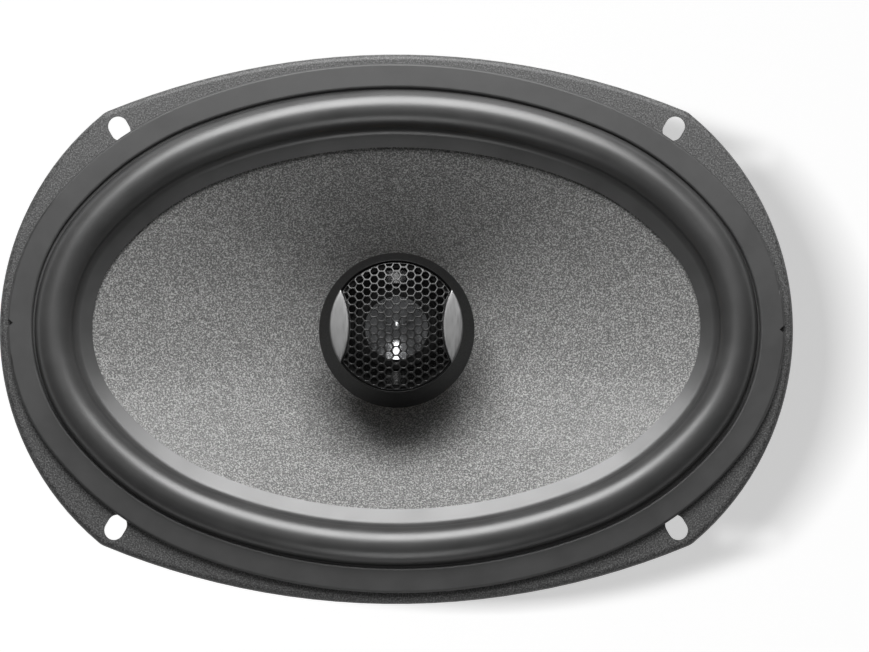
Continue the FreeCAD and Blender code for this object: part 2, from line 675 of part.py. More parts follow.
def spider():
    """Corrugated disc, glued to the former inside and to the basket's ledge outside."""
    inner, outer = FORMER_R, LEDGE_R - SPIDER_EDGE_GAP
    first, last = inner + SPIDER_COLLAR, CUP_R - SPIDER_EDGE_GAP
    step = (last - first) / (2 * SPIDER_WAVES)
    top = LEDGE_Z + SPIDER_T
    under, over = [], []
    for n in range(2 * SPIDER_WAVES):
        x = first + step * n
        rise = SPIDER_WAVE_HEIGHT * (-1 if n % 2 else 1)
        under.append((x, LEDGE_Z, x + step / 2, LEDGE_Z + rise))
        over.append((x + step, top, x + step / 2, top + rise))
    under.reverse()
    return turned([(outer, LEDGE_Z), (last, LEDGE_Z)] + under + [(inner, LEDGE_Z), (inner, top), (first, top)]
                  + over + [(outer, top)])


def surround():
    """Rubber half roll with a land glued to the cone and one glued to the flange."""
    middle = (ROLL_INNER + ROLL_OUTER) / 2
    radius = (ROLL_OUTER - ROLL_INNER) / 2
    crest = ROLL_BASE + radius
    slope = math.tan(math.radians(CONE_LIP_SLOPE))
    return oval_ring([
        (0, CONE_EDGE_Z),
        (CONE_LIP, CONE_RIM_Z),
        (ROLL_INNER + RUBBER_T, ROLL_BASE),
        (ROLL_OUTER - RUBBER_T, ROLL_BASE, middle, crest - RUBBER_T),
        (ROLL_OUTER, RIM_HEIGHT),
        (LAND_OUTER, RIM_HEIGHT),
        (LAND_OUTER, RIM_HEIGHT + RUBBER_T),
        (ROLL_OUTER, RIM_HEIGHT + RUBBER_T),
        (ROLL_INNER, RIM_HEIGHT + RUBBER_T, middle, crest),
        (CONE_LIP - RUBBER_T, CONE_RIM_Z + RUBBER_T - RUBBER_T * slope),
        (0, CONE_EDGE_Z + RUBBER_T),
    ])


def front_gasket():
    """Flat rubber ring over the surround's land, with a small nick at each end of the oval."""
    top = RIM_HEIGHT + GASKET_T
    seat = RIM_HEIGHT + RUBBER_T
    reach = GASKET_EDGE * (1 - math.sqrt(0.5))
    ring = oval_ring([
        (LAND_OUTER + GASKET_FIT, RIM_HEIGHT),
        (GASKET_OUTER, RIM_HEIGHT),
        (GASKET_OUTER, top - GASKET_EDGE),
        (GASKET_OUTER - GASKET_EDGE, top, GASKET_OUTER - reach, top - reach),
        (GASKET_INNER + GASKET_EDGE, top),
        (GASKET_INNER, top - GASKET_EDGE, GASKET_INNER + reach, top - reach),
        (GASKET_INNER, seat),
        (LAND_OUTER + GASKET_FIT, seat),
    ])
    tip = OVAL_HALF_LENGTH + GASKET_OUTER
    nicks = []
    for side in (1, -1):
        corners = [vec(side * (tip - NICK_DEPTH), 0, RIM_HEIGHT)]
        corners += [vec(side * (tip + 1), y, RIM_HEIGHT) for y in (NICK_WIDTH, -NICK_WIDTH)]
        nicks.append(Part.Face(Part.makePolygon(corners + corners[:1])).extrude(UP * GASKET_T))
    ring = ring.cut(nicks)
    ring.rotate(ORIGIN, UP, GASKET_TURN)
    return ring


# ---------------------------------------------------------------- tweeter

def tweeter_post():
    """Hollow post: its shank goes down the pole to the nut, its collar stands on the pole."""
    top = HOUSING_FLOOR
    return turned([
        (POST_BORE_R, POST_BOTTOM), (POST_R, POST_BOTTOM), (POST_R, POLE_TOP), (POST_COLLAR_R, POLE_TOP),
        (POST_COLLAR_R, POLE_TOP + POST_COLLAR_T), (POST_UPPER_R, POLE_TOP + POST_COLLAR_T),
        (POST_UPPER_R, top), (POST_BORE_R, top),
    ])


def post_washer():
    return tube(WASHER_R, POST_R, POCKET_TOP - WASHER_T, POCKET_TOP)


def post_nut():
    top = POCKET_TOP - WASHER_T
    corner = NUT_FLATS / math.sqrt(3)
    points = [direction(60 * n + 30) * corner + vec(0, 0, top - NUT_T) for n in range(6)]
    hexagon = Part.Face(Part.makePolygon(points + points[:1])).extrude(UP * NUT_T)
    return hexagon.cut(disc(POST_R, top - NUT_T, top))


def tweeter_housing():
    """Cup that flares to its widest below, with a boss over the post's top."""
    boss_bottom = HOUSING_FLOOR - HOUSING_WALL - HOUSING_BOSS_LENGTH
    return turned([
        (POST_UPPER_R, boss_bottom), (HOUSING_BOSS_R, boss_bottom),
        (HOUSING_BOSS_R, HOUSING_FLOOR - HOUSING_WALL),
        (HOUSING_BASE_R - HOUSING_WALL, HOUSING_FLOOR - HOUSING_WALL),
        (HOUSING_BASE_R, HOUSING_WIDEST), (HOUSING_TOP_R, HOUSING_TOP),
        (HOUSING_BORE_R, HOUSING_TOP), (HOUSING_BORE_R, HOUSING_FLOOR), (POST_UPPER_R, HOUSING_FLOOR),
    ])


def tweeter_yoke_cup():
    inner = CUP_OUTER_R - CUP_WALL
    top = HOUSING_FLOOR + CUP_HEIGHT
    cup = turned([
        (0, HOUSING_FLOOR), (CUP_OUTER_R, HOUSING_FLOOR), (CUP_OUTER_R, top), (inner, top),
        (inner, CUP_FLOOR_Z), (0, CUP_FLOOR_Z),
    ])
    return cup


def tweeter_magnet():
    return disc(TWEETER_MAGNET_R, CUP_FLOOR_Z, CUP_FLOOR_Z + TWEETER_MAGNET_T)


def tweeter_pole_plate():
    return disc(TWEETER_PLATE_R, CUP_FLOOR_Z + TWEETER_MAGNET_T, TWEETER_PLATE_TOP)


def tweeter_coil():
    return tube(TWEETER_COIL_R, TWEETER_COIL_R - TWEETER_COIL_T, DOME_RIM_Z - TWEETER_COIL_LENGTH, DOME_RIM_Z)


def tweeter_dome():
    """Inverted metal dome, its rim on the coil's top."""
    middle_r, rise = cap_middle(DOME_R, DOME_DEPTH)
    bottom = DOME_RIM_Z - DOME_DEPTH
    middle_z = bottom + rise
    return turned([
        (0, bottom), (DOME_R, DOME_RIM_Z, middle_r, middle_z), (TWEETER_COIL_R, DOME_RIM_Z),
        (TWEETER_COIL_R, DOME_RIM_Z + DOME_T), (DOME_R, DOME_RIM_Z + DOME_T),
        (0, bottom + DOME_T, middle_r, middle_z + DOME_T),
    ])


def tweeter_surround():
    """Small half roll from the dome's rim to the land under the faceplate."""
    middle = (TWEETER_COIL_R + TWEETER_ROLL_R) / 2
    base = DOME_RIM_Z
    crest = base + TWEETER_ROLL_HEIGHT
    return turned([
        (TWEETER_COIL_R, base), (TWEETER_ROLL_R, base, middle, crest), (TWEETER_LAND_R, base),
        (TWEETER_LAND_R, base + DOME_T), (TWEETER_ROLL_R, base + DOME_T),
        (TWEETER_COIL_R, base + DOME_T, middle, crest + DOME_T),
    ])


def tweeter_support():
    """Spacer ring from the housing's floor to the surround's land."""
    return tube(HOUSING_BORE_R, TWEETER_ROLL_R + SUPPORT_FIT, HOUSING_FLOOR, DOME_RIM_Z)


def tweeter_faceplate():
    """Flared ring that clamps the surround's land and guides the sound out."""
    bottom, top = FACEPLATE_Z, FACEPLATE_Z + FACEPLATE_T
    throat = TWEETER_LAND_R - LAND_GRIP
    return turned([
        (throat, bottom), (HOUSING_BORE_R, bottom), (HOUSING_BORE_R, top), (FACEPLATE_MOUTH_R, top),
        (throat, bottom + FACEPLATE_EDGE),
    ])


def tweeter_bezel():
    return turned([
        (BEZEL_SEAT_R, HOUSING_TOP), (HOUSING_TOP_R, HOUSING_TOP), (HOUSING_TOP_R, BEZEL_TOP),
        (BEZEL_LIP_R, BEZEL_TOP), (BEZEL_LIP_R, BEZEL_SEAT_Z), (BEZEL_SEAT_R, BEZEL_SEAT_Z),
    ])


def insert_lens(side, bottom, top):
    """The lens between the bezel's circle and an arc that bulges towards the axis."""
    tip_y = math.sqrt(HOUSING_TOP_R ** 2 - INSERT_TIP_X ** 2)
    sagitta = INSERT_TIP_X - INSERT_REACH
    radius = (tip_y ** 2 + sagitta ** 2) / (2 * sagitta)
    outer = disc(HOUSING_TOP_R, bottom, top)
    return outer.common(disc(radius, bottom, top, side * (INSERT_REACH + radius), 0))


def tweeter_insert(side):
    """Lens-shaped trim piece on the bezel's seat, notched round the bezel's lip."""
    lens = insert_lens(side, BEZEL_SEAT_Z, INSERT_TOP)
    lip = tube(HOUSING_TOP_R + 1, BEZEL_LIP_R, BEZEL_SEAT_Z, BEZEL_TOP)
    return lens.cut(lip)


def hex_hole(x, y, bottom, top):
    """Six-sided hole with two corners along X."""
    corner = (GRILLE_PITCH - GRILLE_WEB) / math.sqrt(3)
    points = [direction(60 * n) * corner + vec(x, y, bottom) for n in range(6)]
    return Part.Face(Part.makePolygon(points + points[:1])).extrude(UP * (top - bottom))


def grille_holes():
    """Staggered columns of holes inside the mesh's rim and clear of the inserts."""
    bottom, top = BEZEL_SEAT_Z - 1, BEZEL_SEAT_Z + GRILLE_RISE + 2
    column_step = GRILLE_PITCH * math.sqrt(3) / 2
    reach = GRILLE_R - GRILLE_PITCH / 2
    tip_y = math.sqrt(HOUSING_TOP_R ** 2 - INSERT_TIP_X ** 2)
    sagitta = INSERT_TIP_X - INSERT_REACH
    lens_r = (tip_y ** 2 + sagitta ** 2) / (2 * sagitta)
    columns = int(reach / column_step)
    rows = int(reach / GRILLE_PITCH) + 1
    holes = []
    for column in range(-columns, columns + 1):
        x = column * column_step
        for row in range(-rows, rows + 1):
            y = (row + 0.5 * (column % 2)) * GRILLE_PITCH
            clear = math.hypot(abs(x) - INSERT_REACH - lens_r, y) > lens_r + GRILLE_PITCH / 2
            if math.hypot(x, y) < reach and clear:
                holes.append(hex_hole(x, y, bottom, top))
    return holes


def tweeter_grille():
    """Domed mesh of six-sided holes, cut away where the inserts lie."""
    z = BEZEL_SEAT_Z
    mid_r, drop = cap_middle(GRILLE_R, GRILLE_RISE)
    mid_z = z + GRILLE_RISE - drop
    cap = turned([
        (0, z + GRILLE_RISE), (GRILLE_R, z, mid_r, mid_z), (GRILLE_R, z + GRILLE_T),
        (0, z + GRILLE_RISE + GRILLE_T, mid_r, mid_z + GRILLE_T),
    ])
    lenses = [insert_lens(side, z - 1, z + GRILLE_RISE + 1) for side in (1, -1)]
    return cap.cut(lenses).cut(Part.makeCompound(grille_holes()))


# ---------------------------------------------------------------- terminals, leads, crossover

def terminal_board():
    board = block(-BOARD_HALF, BOARD_HALF, BOARD_Y, TAB_OUTER_Y, BOARD_BOTTOM, BOARD_TOP)
    holes = [rod_y(BOARD_RIVET_R, x, BOARD_RIVET_Z, BOARD_Y - 1, TAB_OUTER_Y + 1)
             for x in (-BOARD_RIVET_X, BOARD_RIVET_X)]
    holes += [rod_y(EYELET_R, x, EYELET_Z, BOARD_Y - 1, TAB_OUTER_Y + 1) for x in TERMINAL_X]
    return board.cut(holes)


def board_rivets():
    """Two hollow-headed rivets that hold the board to the tab."""
    rivets = []
    for x in (-BOARD_RIVET_X, BOARD_RIVET_X):
        shank = rod_y(BOARD_RIVET_R, x, BOARD_RIVET_Z, BOARD_Y, TAB_Y)
        head = rod_y(BOARD_RIVET_HEAD_R, x, BOARD_RIVET_Z, BOARD_Y - BOARD_RIVET_HEAD_T, BOARD_Y)
        tail = rod_y(BOARD_RIVET_TAIL_R, x, BOARD_RIVET_Z, TAB_Y, TAB_Y + BOARD_RIVET_HEAD_T)
        rivets.append(fused([shank, head, tail]))
    return Part.makeCompound(rivets)


def terminal(x, width):
    """Push-on blade with its eyelet through the board."""
    blade = block(x - width / 2, x + width / 2, BOARD_Y - BLADE_T, BOARD_Y, BLADE_TIP, BLADE_TOP)
    through = [e for e in blade.Edges if e.BoundBox.YLength > BLADE_T / 2]
    corners = [e for e in through if e.BoundBox.ZMax < BLADE_TIP + 0.01]
    blade = blade.makeChamfer(BLADE_CORNER, corners)
    dimple = rod_y(DIMPLE_R, x, BLADE_TIP + DIMPLE_HEIGHT, BOARD_Y - BLADE_T - 1, BOARD_Y + 1)
    eyelet = rod_y(EYELET_R, x, EYELET_Z, BOARD_Y - BLADE_T - EYELET_HEAD, TAB_Y)
    return blade.cut(dimple).fuse(eyelet).removeSplitter()


def tinsel_lead(x):
    """Flexible lead from the eyelet's inner end up to the back of the cone."""
    share = (abs(LEAD_CONE_Y) - FORMER_R) / (OVAL_HALF_WIDTH - FORMER_R)
    cone_back = NECK_Z + (CONE_EDGE_Z - NECK_Z) * share ** CONE_FLARE - CONE_T
    start = (x, TAB_Y, EYELET_Z)
    points = [start, (x, -CUP_R - 8.5, EYELET_Z), (x, -CUP_R + 1.5, EYELET_Z + 2.5),
              (x, LEAD_CONE_Y - 2.0, cone_back - 5.5), (x, LEAD_CONE_Y, cone_back - 0.8)]
    return wire_tube(points, LEAD_R, LEAD_BENDS)


def crossover_capacitor():
    y = BOARD_Y - CAPACITOR_R
    body = disc(CAPACITOR_R, CAPACITOR_BOTTOM, CAPACITOR_TOP, CAPACITOR_X, y)
    rims = [e for e in body.Edges if e.BoundBox.ZLength < 0.01]
    return body.makeFillet(CAPACITOR_ROUND, rims)


def capacitor_wires():
    """One wire from each end of the capacitor, bent back to the board."""
    x, y = CAPACITOR_X, BOARD_Y - CAPACITOR_R
    high, low = CAPACITOR_TOP + CAPACITOR_WIRE_OUT, CAPACITOR_BOTTOM - CAPACITOR_WIRE_OUT
    side, end = x - CAPACITOR_R - CAPACITOR_WIRE_SIDE, BOARD_BOTTOM + CAPACITOR_WIRE_RISE
    upper = [(x, y, CAPACITOR_TOP), (x, y, high), (x, BOARD_Y, high)]
    lower = [(x, y, CAPACITOR_BOTTOM), (x, y, low), (side, y, low), (side, y, end), (side, BOARD_Y, end)]
    bend = 3 * CAPACITOR_WIRE_R
    wires = [wire_tube(route, CAPACITOR_WIRE_R, (bend,) * (len(route) - 2)) for route in (upper, lower)]
    return Part.makeCompound(wires)


def tweeter_wires():
    """Two wires down the post's bore, out along the yoke's groove and up to the board."""
    wires = []
    groove_z = MOTOR_BACK + GROOVE_DEPTH / 2
    outside = -MAGNET_R - WIRE_STAND_OFF
    board_y = BOARD_Y + BOARD_T / 2
    low = BOARD_BOTTOM - WIRE_DROP
    for side in (1, -1):
        x = side * WIRE_SPACING / 2
        points = [(x, WIRE_BORE_Y, HOUSING_FLOOR), (x, WIRE_BORE_Y, groove_z), (x, outside, groove_z),
                  (x, outside, MAGNET_TOP), (x, board_y, low), (x, board_y, BOARD_BOTTOM)]
        wires.append(wire_tube(points, WIRE_R, WIRE_BENDS))
    return Part.makeCompound(wires)


def nodes():
    """Every node's name and shape."""
    return {
        "basket": basket(),
        "front_gasket": front_gasket(),
        "surround": surround(),
        "cone": cone(),
        "voice_coil_former": voice_coil_former(),
        "voice_coil": voice_coil(),
        "spider": spider(),
        "top_plate": top_plate(),
        "top_plate_rivets": top_plate_rivets(),
        "magnet_ring": magnet_ring(),
        "yoke": yoke(),
        "tweeter_post": tweeter_post(),
        "post_washer": post_washer(),
        "post_nut": post_nut(),
        "tweeter_housing": tweeter_housing(),
        "tweeter_yoke_cup": tweeter_yoke_cup(),
        "tweeter_magnet": tweeter_magnet(),
        "tweeter_pole_plate": tweeter_pole_plate(),
        "tweeter_coil": tweeter_coil(),
        "tweeter_dome": tweeter_dome(),
        "tweeter_surround": tweeter_surround(),
        "tweeter_support": tweeter_support(),
        "tweeter_faceplate": tweeter_faceplate(),
        "tweeter_bezel": tweeter_bezel(),
        "tweeter_grille": tweeter_grille(),
        "insert_right": tweeter_insert(1),
        "insert_left": tweeter_insert(-1),
        "terminal_board": terminal_board(),
        "board_rivets": board_rivets(),
        "terminal_positive": terminal(TERMINAL_X[0], BLADE_WIDTHS[0]),
        "terminal_negative": terminal(TERMINAL_X[1], BLADE_WIDTHS[1]),
        "tinsel_lead_positive": tinsel_lead(TERMINAL_X[0]),
        "tinsel_lead_negative": tinsel_lead(TERMINAL_X[1]),
        "crossover_capacitor": crossover_capacitor(),
        "capacitor_wires": capacitor_wires(),
        "tweeter_wires": tweeter_wires(),
    }


os.makedirs("parts", exist_ok=True)
for name, shape in nodes().items():
    shape.exportStep(f"parts/{name}.step")
    box = shape.BoundBox
    print(f"{name:22} {len(shape.Solids)} solids {shape.Volume:11.1f} mm3 valid {shape.isValid()} "
          f"z {box.ZMin:.2f} to {box.ZMax:.2f}")
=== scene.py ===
import json
import math

import bmesh
import bpy
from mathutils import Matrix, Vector
from mathutils.geometry import delaunay_2d_cdt

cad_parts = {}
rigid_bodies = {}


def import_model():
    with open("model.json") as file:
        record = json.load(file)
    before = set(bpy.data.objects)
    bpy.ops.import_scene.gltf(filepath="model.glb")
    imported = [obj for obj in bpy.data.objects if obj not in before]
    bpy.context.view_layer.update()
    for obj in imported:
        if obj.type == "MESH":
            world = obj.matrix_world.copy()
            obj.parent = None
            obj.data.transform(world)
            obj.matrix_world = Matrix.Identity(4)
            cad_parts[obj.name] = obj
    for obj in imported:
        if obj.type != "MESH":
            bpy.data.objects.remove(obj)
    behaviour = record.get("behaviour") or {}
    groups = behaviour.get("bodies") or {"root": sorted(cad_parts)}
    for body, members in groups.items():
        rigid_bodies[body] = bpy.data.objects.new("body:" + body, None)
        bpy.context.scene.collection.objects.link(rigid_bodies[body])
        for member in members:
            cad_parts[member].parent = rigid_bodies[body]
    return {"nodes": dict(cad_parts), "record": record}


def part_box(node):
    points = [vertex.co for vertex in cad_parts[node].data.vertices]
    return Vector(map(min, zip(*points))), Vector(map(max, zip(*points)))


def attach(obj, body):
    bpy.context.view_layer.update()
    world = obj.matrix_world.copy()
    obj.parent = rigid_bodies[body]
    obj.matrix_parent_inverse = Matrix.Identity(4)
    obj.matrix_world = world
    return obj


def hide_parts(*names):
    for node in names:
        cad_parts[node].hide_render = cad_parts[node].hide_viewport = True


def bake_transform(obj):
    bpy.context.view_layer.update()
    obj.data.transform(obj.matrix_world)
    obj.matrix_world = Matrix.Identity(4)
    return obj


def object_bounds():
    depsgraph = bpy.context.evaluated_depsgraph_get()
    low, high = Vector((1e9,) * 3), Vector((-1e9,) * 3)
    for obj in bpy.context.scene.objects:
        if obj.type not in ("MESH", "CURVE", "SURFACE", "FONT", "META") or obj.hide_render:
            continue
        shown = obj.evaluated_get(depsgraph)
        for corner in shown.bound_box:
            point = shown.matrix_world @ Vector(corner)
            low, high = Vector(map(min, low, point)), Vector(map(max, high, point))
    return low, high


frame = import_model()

CAD_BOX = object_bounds()
NODES = frame["nodes"]
MM = 0.001

# ---------------------------------------------------------------- sizes in millimetres


def node_box(name):
    """A CAD node's lowest and highest corners, in millimetres."""
    low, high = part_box(name)
    return [v / MM for v in low], [v / MM for v in high]


# The oval's eight arcs: the bare cone's edge, one glue land inside the cone's own edge.
CONE_LIP = 4.9
CONE_EDGE = node_box("cone")[1]
OVAL_HALF_LENGTH = CONE_EDGE[0] - CONE_LIP
OVAL_HALF_WIDTH = CONE_EDGE[1] - CONE_LIP
END_TURN = math.radians(38.8)
SIDE_TURN = math.radians(68.3)

FLANGE_FRONT = node_box("basket")[1][2]
CONE_RIM_Z = CONE_EDGE[2]
CONE_LIP_RISE = math.tan(math.radians(24.0))
CONE_EDGE_Z = CONE_RIM_Z - CONE_LIP * CONE_LIP_RISE
RUBBER_T = 0.7
ROLL_INNER = 5.2
ROLL_OUTER = 16.7
ROLL_BASE = 3.4
LAND_OUTER = 21.0

FORMER_R = node_box("voice_coil_former")[1][0]
NECK_Z = node_box("voice_coil_former")[1][2] - 1.0
SPIDER_LEDGE_Z = -38.0
SPIDER_OUTER_R = node_box("spider")[1][0]
SPIDER_FIRST_R = FORMER_R + 3.0
SPIDER_LAST_R = 45.4
SPIDER_WAVES = 5
SPIDER_WAVE_HEIGHT = 1.1
SPIDER_T = 0.5

HOUSING_TOP_R = node_box("tweeter_bezel")[1][0]
BEZEL_TOP = node_box("tweeter_bezel")[1][2]
BEZEL_SEAT_Z = node_box("insert_right")[0][2]
GRILLE_R = 19.1
GRILLE_MARGIN = 0.4
GRILLE_RISE = 3.2
GRILLE_T = 0.5
GRILLE_PITCH = 2.5
GRILLE_WEB = 0.5
INSERT_REACH = node_box("insert_right")[0][0]
INSERT_TIP_X = 16.4
INSERT_TOP = node_box("insert_right")[1][2]

TWEETER_COIL_R = node_box("tweeter_coil")[1][0]
TWEETER_ROLL_R = 12.6
TWEETER_LAND_R = node_box("tweeter_surround")[1][0]
DOME_RIM_Z = node_box("tweeter_coil")[1][2]

FLOOR_Z = CAD_BOX[0][2] / MM


# ---------------------------------------------------------------- the oval and the swept meshes

def oval_arcs():
    """The oval's arcs as (centre x, centre y, radius, start angle, sweep), anticlockwise from X."""
    length, width = OVAL_HALF_LENGTH, OVAL_HALF_WIDTH
    middle = (END_TURN + SIDE_TURN) / 2
    c1, s1, c2, s2 = math.cos(END_TURN), math.sin(END_TURN), math.cos(SIDE_TURN), math.sin(SIDE_TURN)
    spread = (length * math.cos(middle)) ** 2 + (width * math.sin(middle)) ** 2
    middle_r = (length * width) ** 2 / spread ** 1.5
    along = length - middle_r * (c1 - c2)
    across = width - middle_r * (s2 - s1)
    determinant = (1 - c1) * (1 - s2) - c2 * s1
    end_r = (along * (1 - s2) - c2 * across) / determinant
    side_r = ((1 - c1) * across - s1 * along) / determinant
    x = length - end_r + c1 * (end_r - middle_r)
    y = s1 * (end_r - middle_r)
    half = math.pi
    turn, rest = SIDE_TURN - END_TURN, math.pi - 2 * SIDE_TURN
    return [
        (length - end_r, 0, end_r, -END_TURN, 2 * END_TURN), (x, y, middle_r, END_TURN, turn),
        (0, width - side_r, side_r, SIDE_TURN, rest), (-x, y, middle_r, half - SIDE_TURN, turn),
        (end_r - length, 0, end_r, half - END_TURN, 2 * END_TURN),
        (-x, -y, middle_r, half + END_TURN, turn),
        (0, side_r - width, side_r, half + SIDE_TURN, rest),
        (x, -y, middle_r, 2 * half - SIDE_TURN, turn),
    ]


def oval_stations(spacing):
    """Places round the oval, about this many millimetres apart, as (x, y, radius, angle)."""
    stations = []
    for x, y, radius, start, sweep in oval_arcs():
        steps = max(2, round((radius + ROLL_INNER) * sweep / spacing))
        stations += [(x, y, radius, start + sweep * n / steps) for n in range(steps)]
    return stations


def round_stations(count):
    return [(0, 0, 0, 2 * math.pi * n / count) for n in range(count)]


def place(station, out, z):
    """The point that lies out from a station's arc at height z, in metres."""
    x, y, radius, angle = station
    reach = radius + out
    return Vector((x + reach * math.cos(angle), y + reach * math.sin(angle), z)) * MM


def new_object(name, verts, faces, sharp=40):
    mesh = bpy.data.meshes.new(name)
    mesh.from_pydata(verts, [], faces)
    mesh.update()
    tidy = bmesh.new()
    tidy.from_mesh(mesh)
    bmesh.ops.recalc_face_normals(tidy, faces=tidy.faces)
    tidy.to_mesh(mesh)
    tidy.free()
    mesh.polygons.foreach_set("use_smooth", [True] * len(mesh.polygons))
    mesh.set_sharp_from_angle(angle=math.radians(sharp))
    piece = bpy.data.objects.new(name, mesh)
    bpy.context.scene.collection.objects.link(piece)
    return piece


def swept(name, stations, profile, sharp=40):
    """A ring with this closed profile of (out, z) points at every station."""
    verts = [place(s, out, z) for s in stations for out, z in profile]
    count, size = len(stations), len(profile)
    faces = []
    for i in range(count):
        for j in range(size):
            k = (j + 1) % size
            nxt = (i + 1) % count
            faces.append((i * size + j, nxt * size + j, nxt * size + k, i * size + k))
    return new_object(name, verts, faces, sharp)


def thick(line, t):
    """A closed profile from a centre line of (out, z) points: t thick, square to the line."""
    left, right = [], []
    for n, (x, z) in enumerate(line):
        before, after = line[max(n - 1, 0)], line[min(n + 1, len(line) - 1)]
        dx, dz = after[0] - before[0], after[1] - before[1]
        length = math.hypot(dx, dz)
        left.append((x - dz / length * t / 2, z + dx / length * t / 2))
        right.append((x + dz / length * t / 2, z - dx / length * t / 2))
    return left + right[::-1]


def arc_points(centre, radius, start, end, count):
    """Points along an arc, angles in degrees."""
    points = []
    for n in range(count + 1):
        a = math.radians(start + (end - start) * n / count)
        points.append((centre[0] + radius * math.cos(a), centre[1] + radius * math.sin(a)))
    return points


def radial_blend(piece):
    """Bake a ring's placing into its mesh; no blend across the ring is set.
    """
    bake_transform(piece)


# ---------------------------------------------------------------- materials

def new_material(name, base, roughness, metallic=0.0, specular=0.5):
    """A principled material, with its node tree and shader."""
    material = bpy.data.materials.new(name)
    material.use_nodes = True
    tree = material.node_tree
    shader = tree.nodes["Principled BSDF"]
    shader.inputs["Base Color"].default_value = (*base, 1)
    shader.inputs["Roughness"].default_value = roughness
    shader.inputs["Metallic"].default_value = metallic
    shader.inputs["Specular IOR Level"].default_value = specular
    return material, tree, shader


def coordinates(tree, scale=(1, 1, 1)):
    """Object coordinates in metres, stretched by scale."""
    source = tree.nodes.new("ShaderNodeTexCoord")
    mapping = tree.nodes.new("ShaderNodeMapping")
    mapping.inputs["Scale"].default_value = scale
    tree.links.new(source.outputs["Object"], mapping.inputs["Vector"])
    return mapping.outputs["Vector"]


def noise(tree, vector, scale, detail=2.0, roughness=0.5):
    node = tree.nodes.new("ShaderNodeTexNoise")
    node.inputs["Scale"].default_value = scale
    node.inputs["Detail"].default_value = detail
    node.inputs["Roughness"].default_value = roughness
    tree.links.new(vector, node.inputs["Vector"])
    return node.outputs["Fac"]


def voronoi(tree, vector, scale, feature="F1", output="Distance"):
    node = tree.nodes.new("ShaderNodeTexVoronoi")
    node.feature = feature
    node.inputs["Scale"].default_value = scale
    tree.links.new(vector, node.inputs["Vector"])
    return node.outputs[output]


def ramp(tree, value, stops):
    """A colour ramp of (position, colour) stops."""
    node = tree.nodes.new("ShaderNodeValToRGB")
    elements = node.color_ramp.elements
    while len(elements) < len(stops):
        elements.new(0.5)
    for element, (position, colour) in zip(elements, stops):
        element.position = position
        element.color = (*colour, 1)
    tree.links.new(value, node.inputs["Fac"])
    return node.outputs["Color"]


def tint(tree, shader, value, stops):
    """Base colour from a ramp of (position, colour) stops."""
    tree.links.new(ramp(tree, value, stops), shader.inputs["Base Color"])


def spread(tree, value, low, high):
    """Map a noise value from its usual middle range to low..high."""
    node = tree.nodes.new("ShaderNodeMapRange")
    node.inputs["From Min"].default_value = 0.3
    node.inputs["From Max"].default_value = 0.7
    node.inputs["To Min"].default_value = low
    node.inputs["To Max"].default_value = high
    tree.links.new(value, node.inputs["Value"])
    return node.outputs["Result"]


def bump(tree, shader, height, distance, strength=1.0, under=None):
    """Bump of this height in millimetres, on top of an earlier bump."""
    node = tree.nodes.new("ShaderNodeBump")
    node.inputs["Distance"].default_value = distance * MM
    node.inputs["Strength"].default_value = strength
    tree.links.new(height, node.inputs["Height"])
    if under:
        tree.links.new(under, node.inputs["Normal"])
    tree.links.new(node.outputs["Normal"], shader.inputs["Normal"])
    return node.outputs["Normal"]


def mixed(tree, factor, a, b, blend="MIX"):
    """A blend of two colours, each a socket or an rgb triple."""
    node = tree.nodes.new("ShaderNodeMix")
    node.data_type = "RGBA"
    node.blend_type = blend
    for value, socket in ((factor, node.inputs[0]), (a, node.inputs[6]), (b, node.inputs[7])):
        if isinstance(value, (int, float)):
            socket.default_value = value
        elif isinstance(value, tuple):
            socket.default_value = (*value, 1)
        else:
            tree.links.new(value, socket)
    return node.outputs[2]


def grey(value):
    return (value, value, value)


def powder_coat():
    """Fine wrinkled powder coat: pale grains over near-black, with a pebbled bump."""
    material, tree, shader = new_material("powder_coat", grey(0.05), 0.5)
    vector = coordinates(tree)
    grains = noise(tree, vector, 2300, 2, 0.6)
    colour = ramp(tree, grains, [(0.36, grey(0.022)), (0.5, grey(0.055)), (0.68, grey(0.14))])
    tree.links.new(colour, shader.inputs["Base Color"])
    tree.links.new(spread(tree, grains, 0.42, 0.6), shader.inputs["Roughness"])
    pebbles = bump(tree, shader, grains, 0.07, 0.8)
    bump(tree, shader, noise(tree, vector, 120, 2), 0.06, 0.25, pebbles)
    return material


def gasket_rubber():
    """Smooth moulded rubber with a faint flow mottle."""
    material, tree, shader = new_material("gasket_rubber", grey(0.03), 0.5)
    vector = coordinates(tree)
    mottle = noise(tree, vector, 90, 5, 0.6)
    tint(tree, shader, mottle, [(0.3, grey(0.036)), (0.7, grey(0.048))])
    tree.links.new(spread(tree, mottle, 0.46, 0.56), shader.inputs["Roughness"])
    fine = bump(tree, shader, noise(tree, vector, 2600, 2), 0.01, 0.5)
    bump(tree, shader, noise(tree, vector, 120, 3), 0.03, 0.35, fine)
    return material


def surround_rubber():
    """Butyl rubber: deep black with a soft sheen and a very fine grain."""
    material, tree, shader = new_material("surround_rubber", grey(0.04), 0.36, specular=0.85)
    vector = coordinates(tree)
    bloom = noise(tree, vector, 70, 4, 0.6)
    tint(tree, shader, bloom, [(0.3, grey(0.034)), (0.7, grey(0.046))])
    tree.links.new(spread(tree, bloom, 0.33, 0.4), shader.inputs["Roughness"])
    bump(tree, shader, noise(tree, vector, 3000, 2), 0.01, 0.5)
    return material


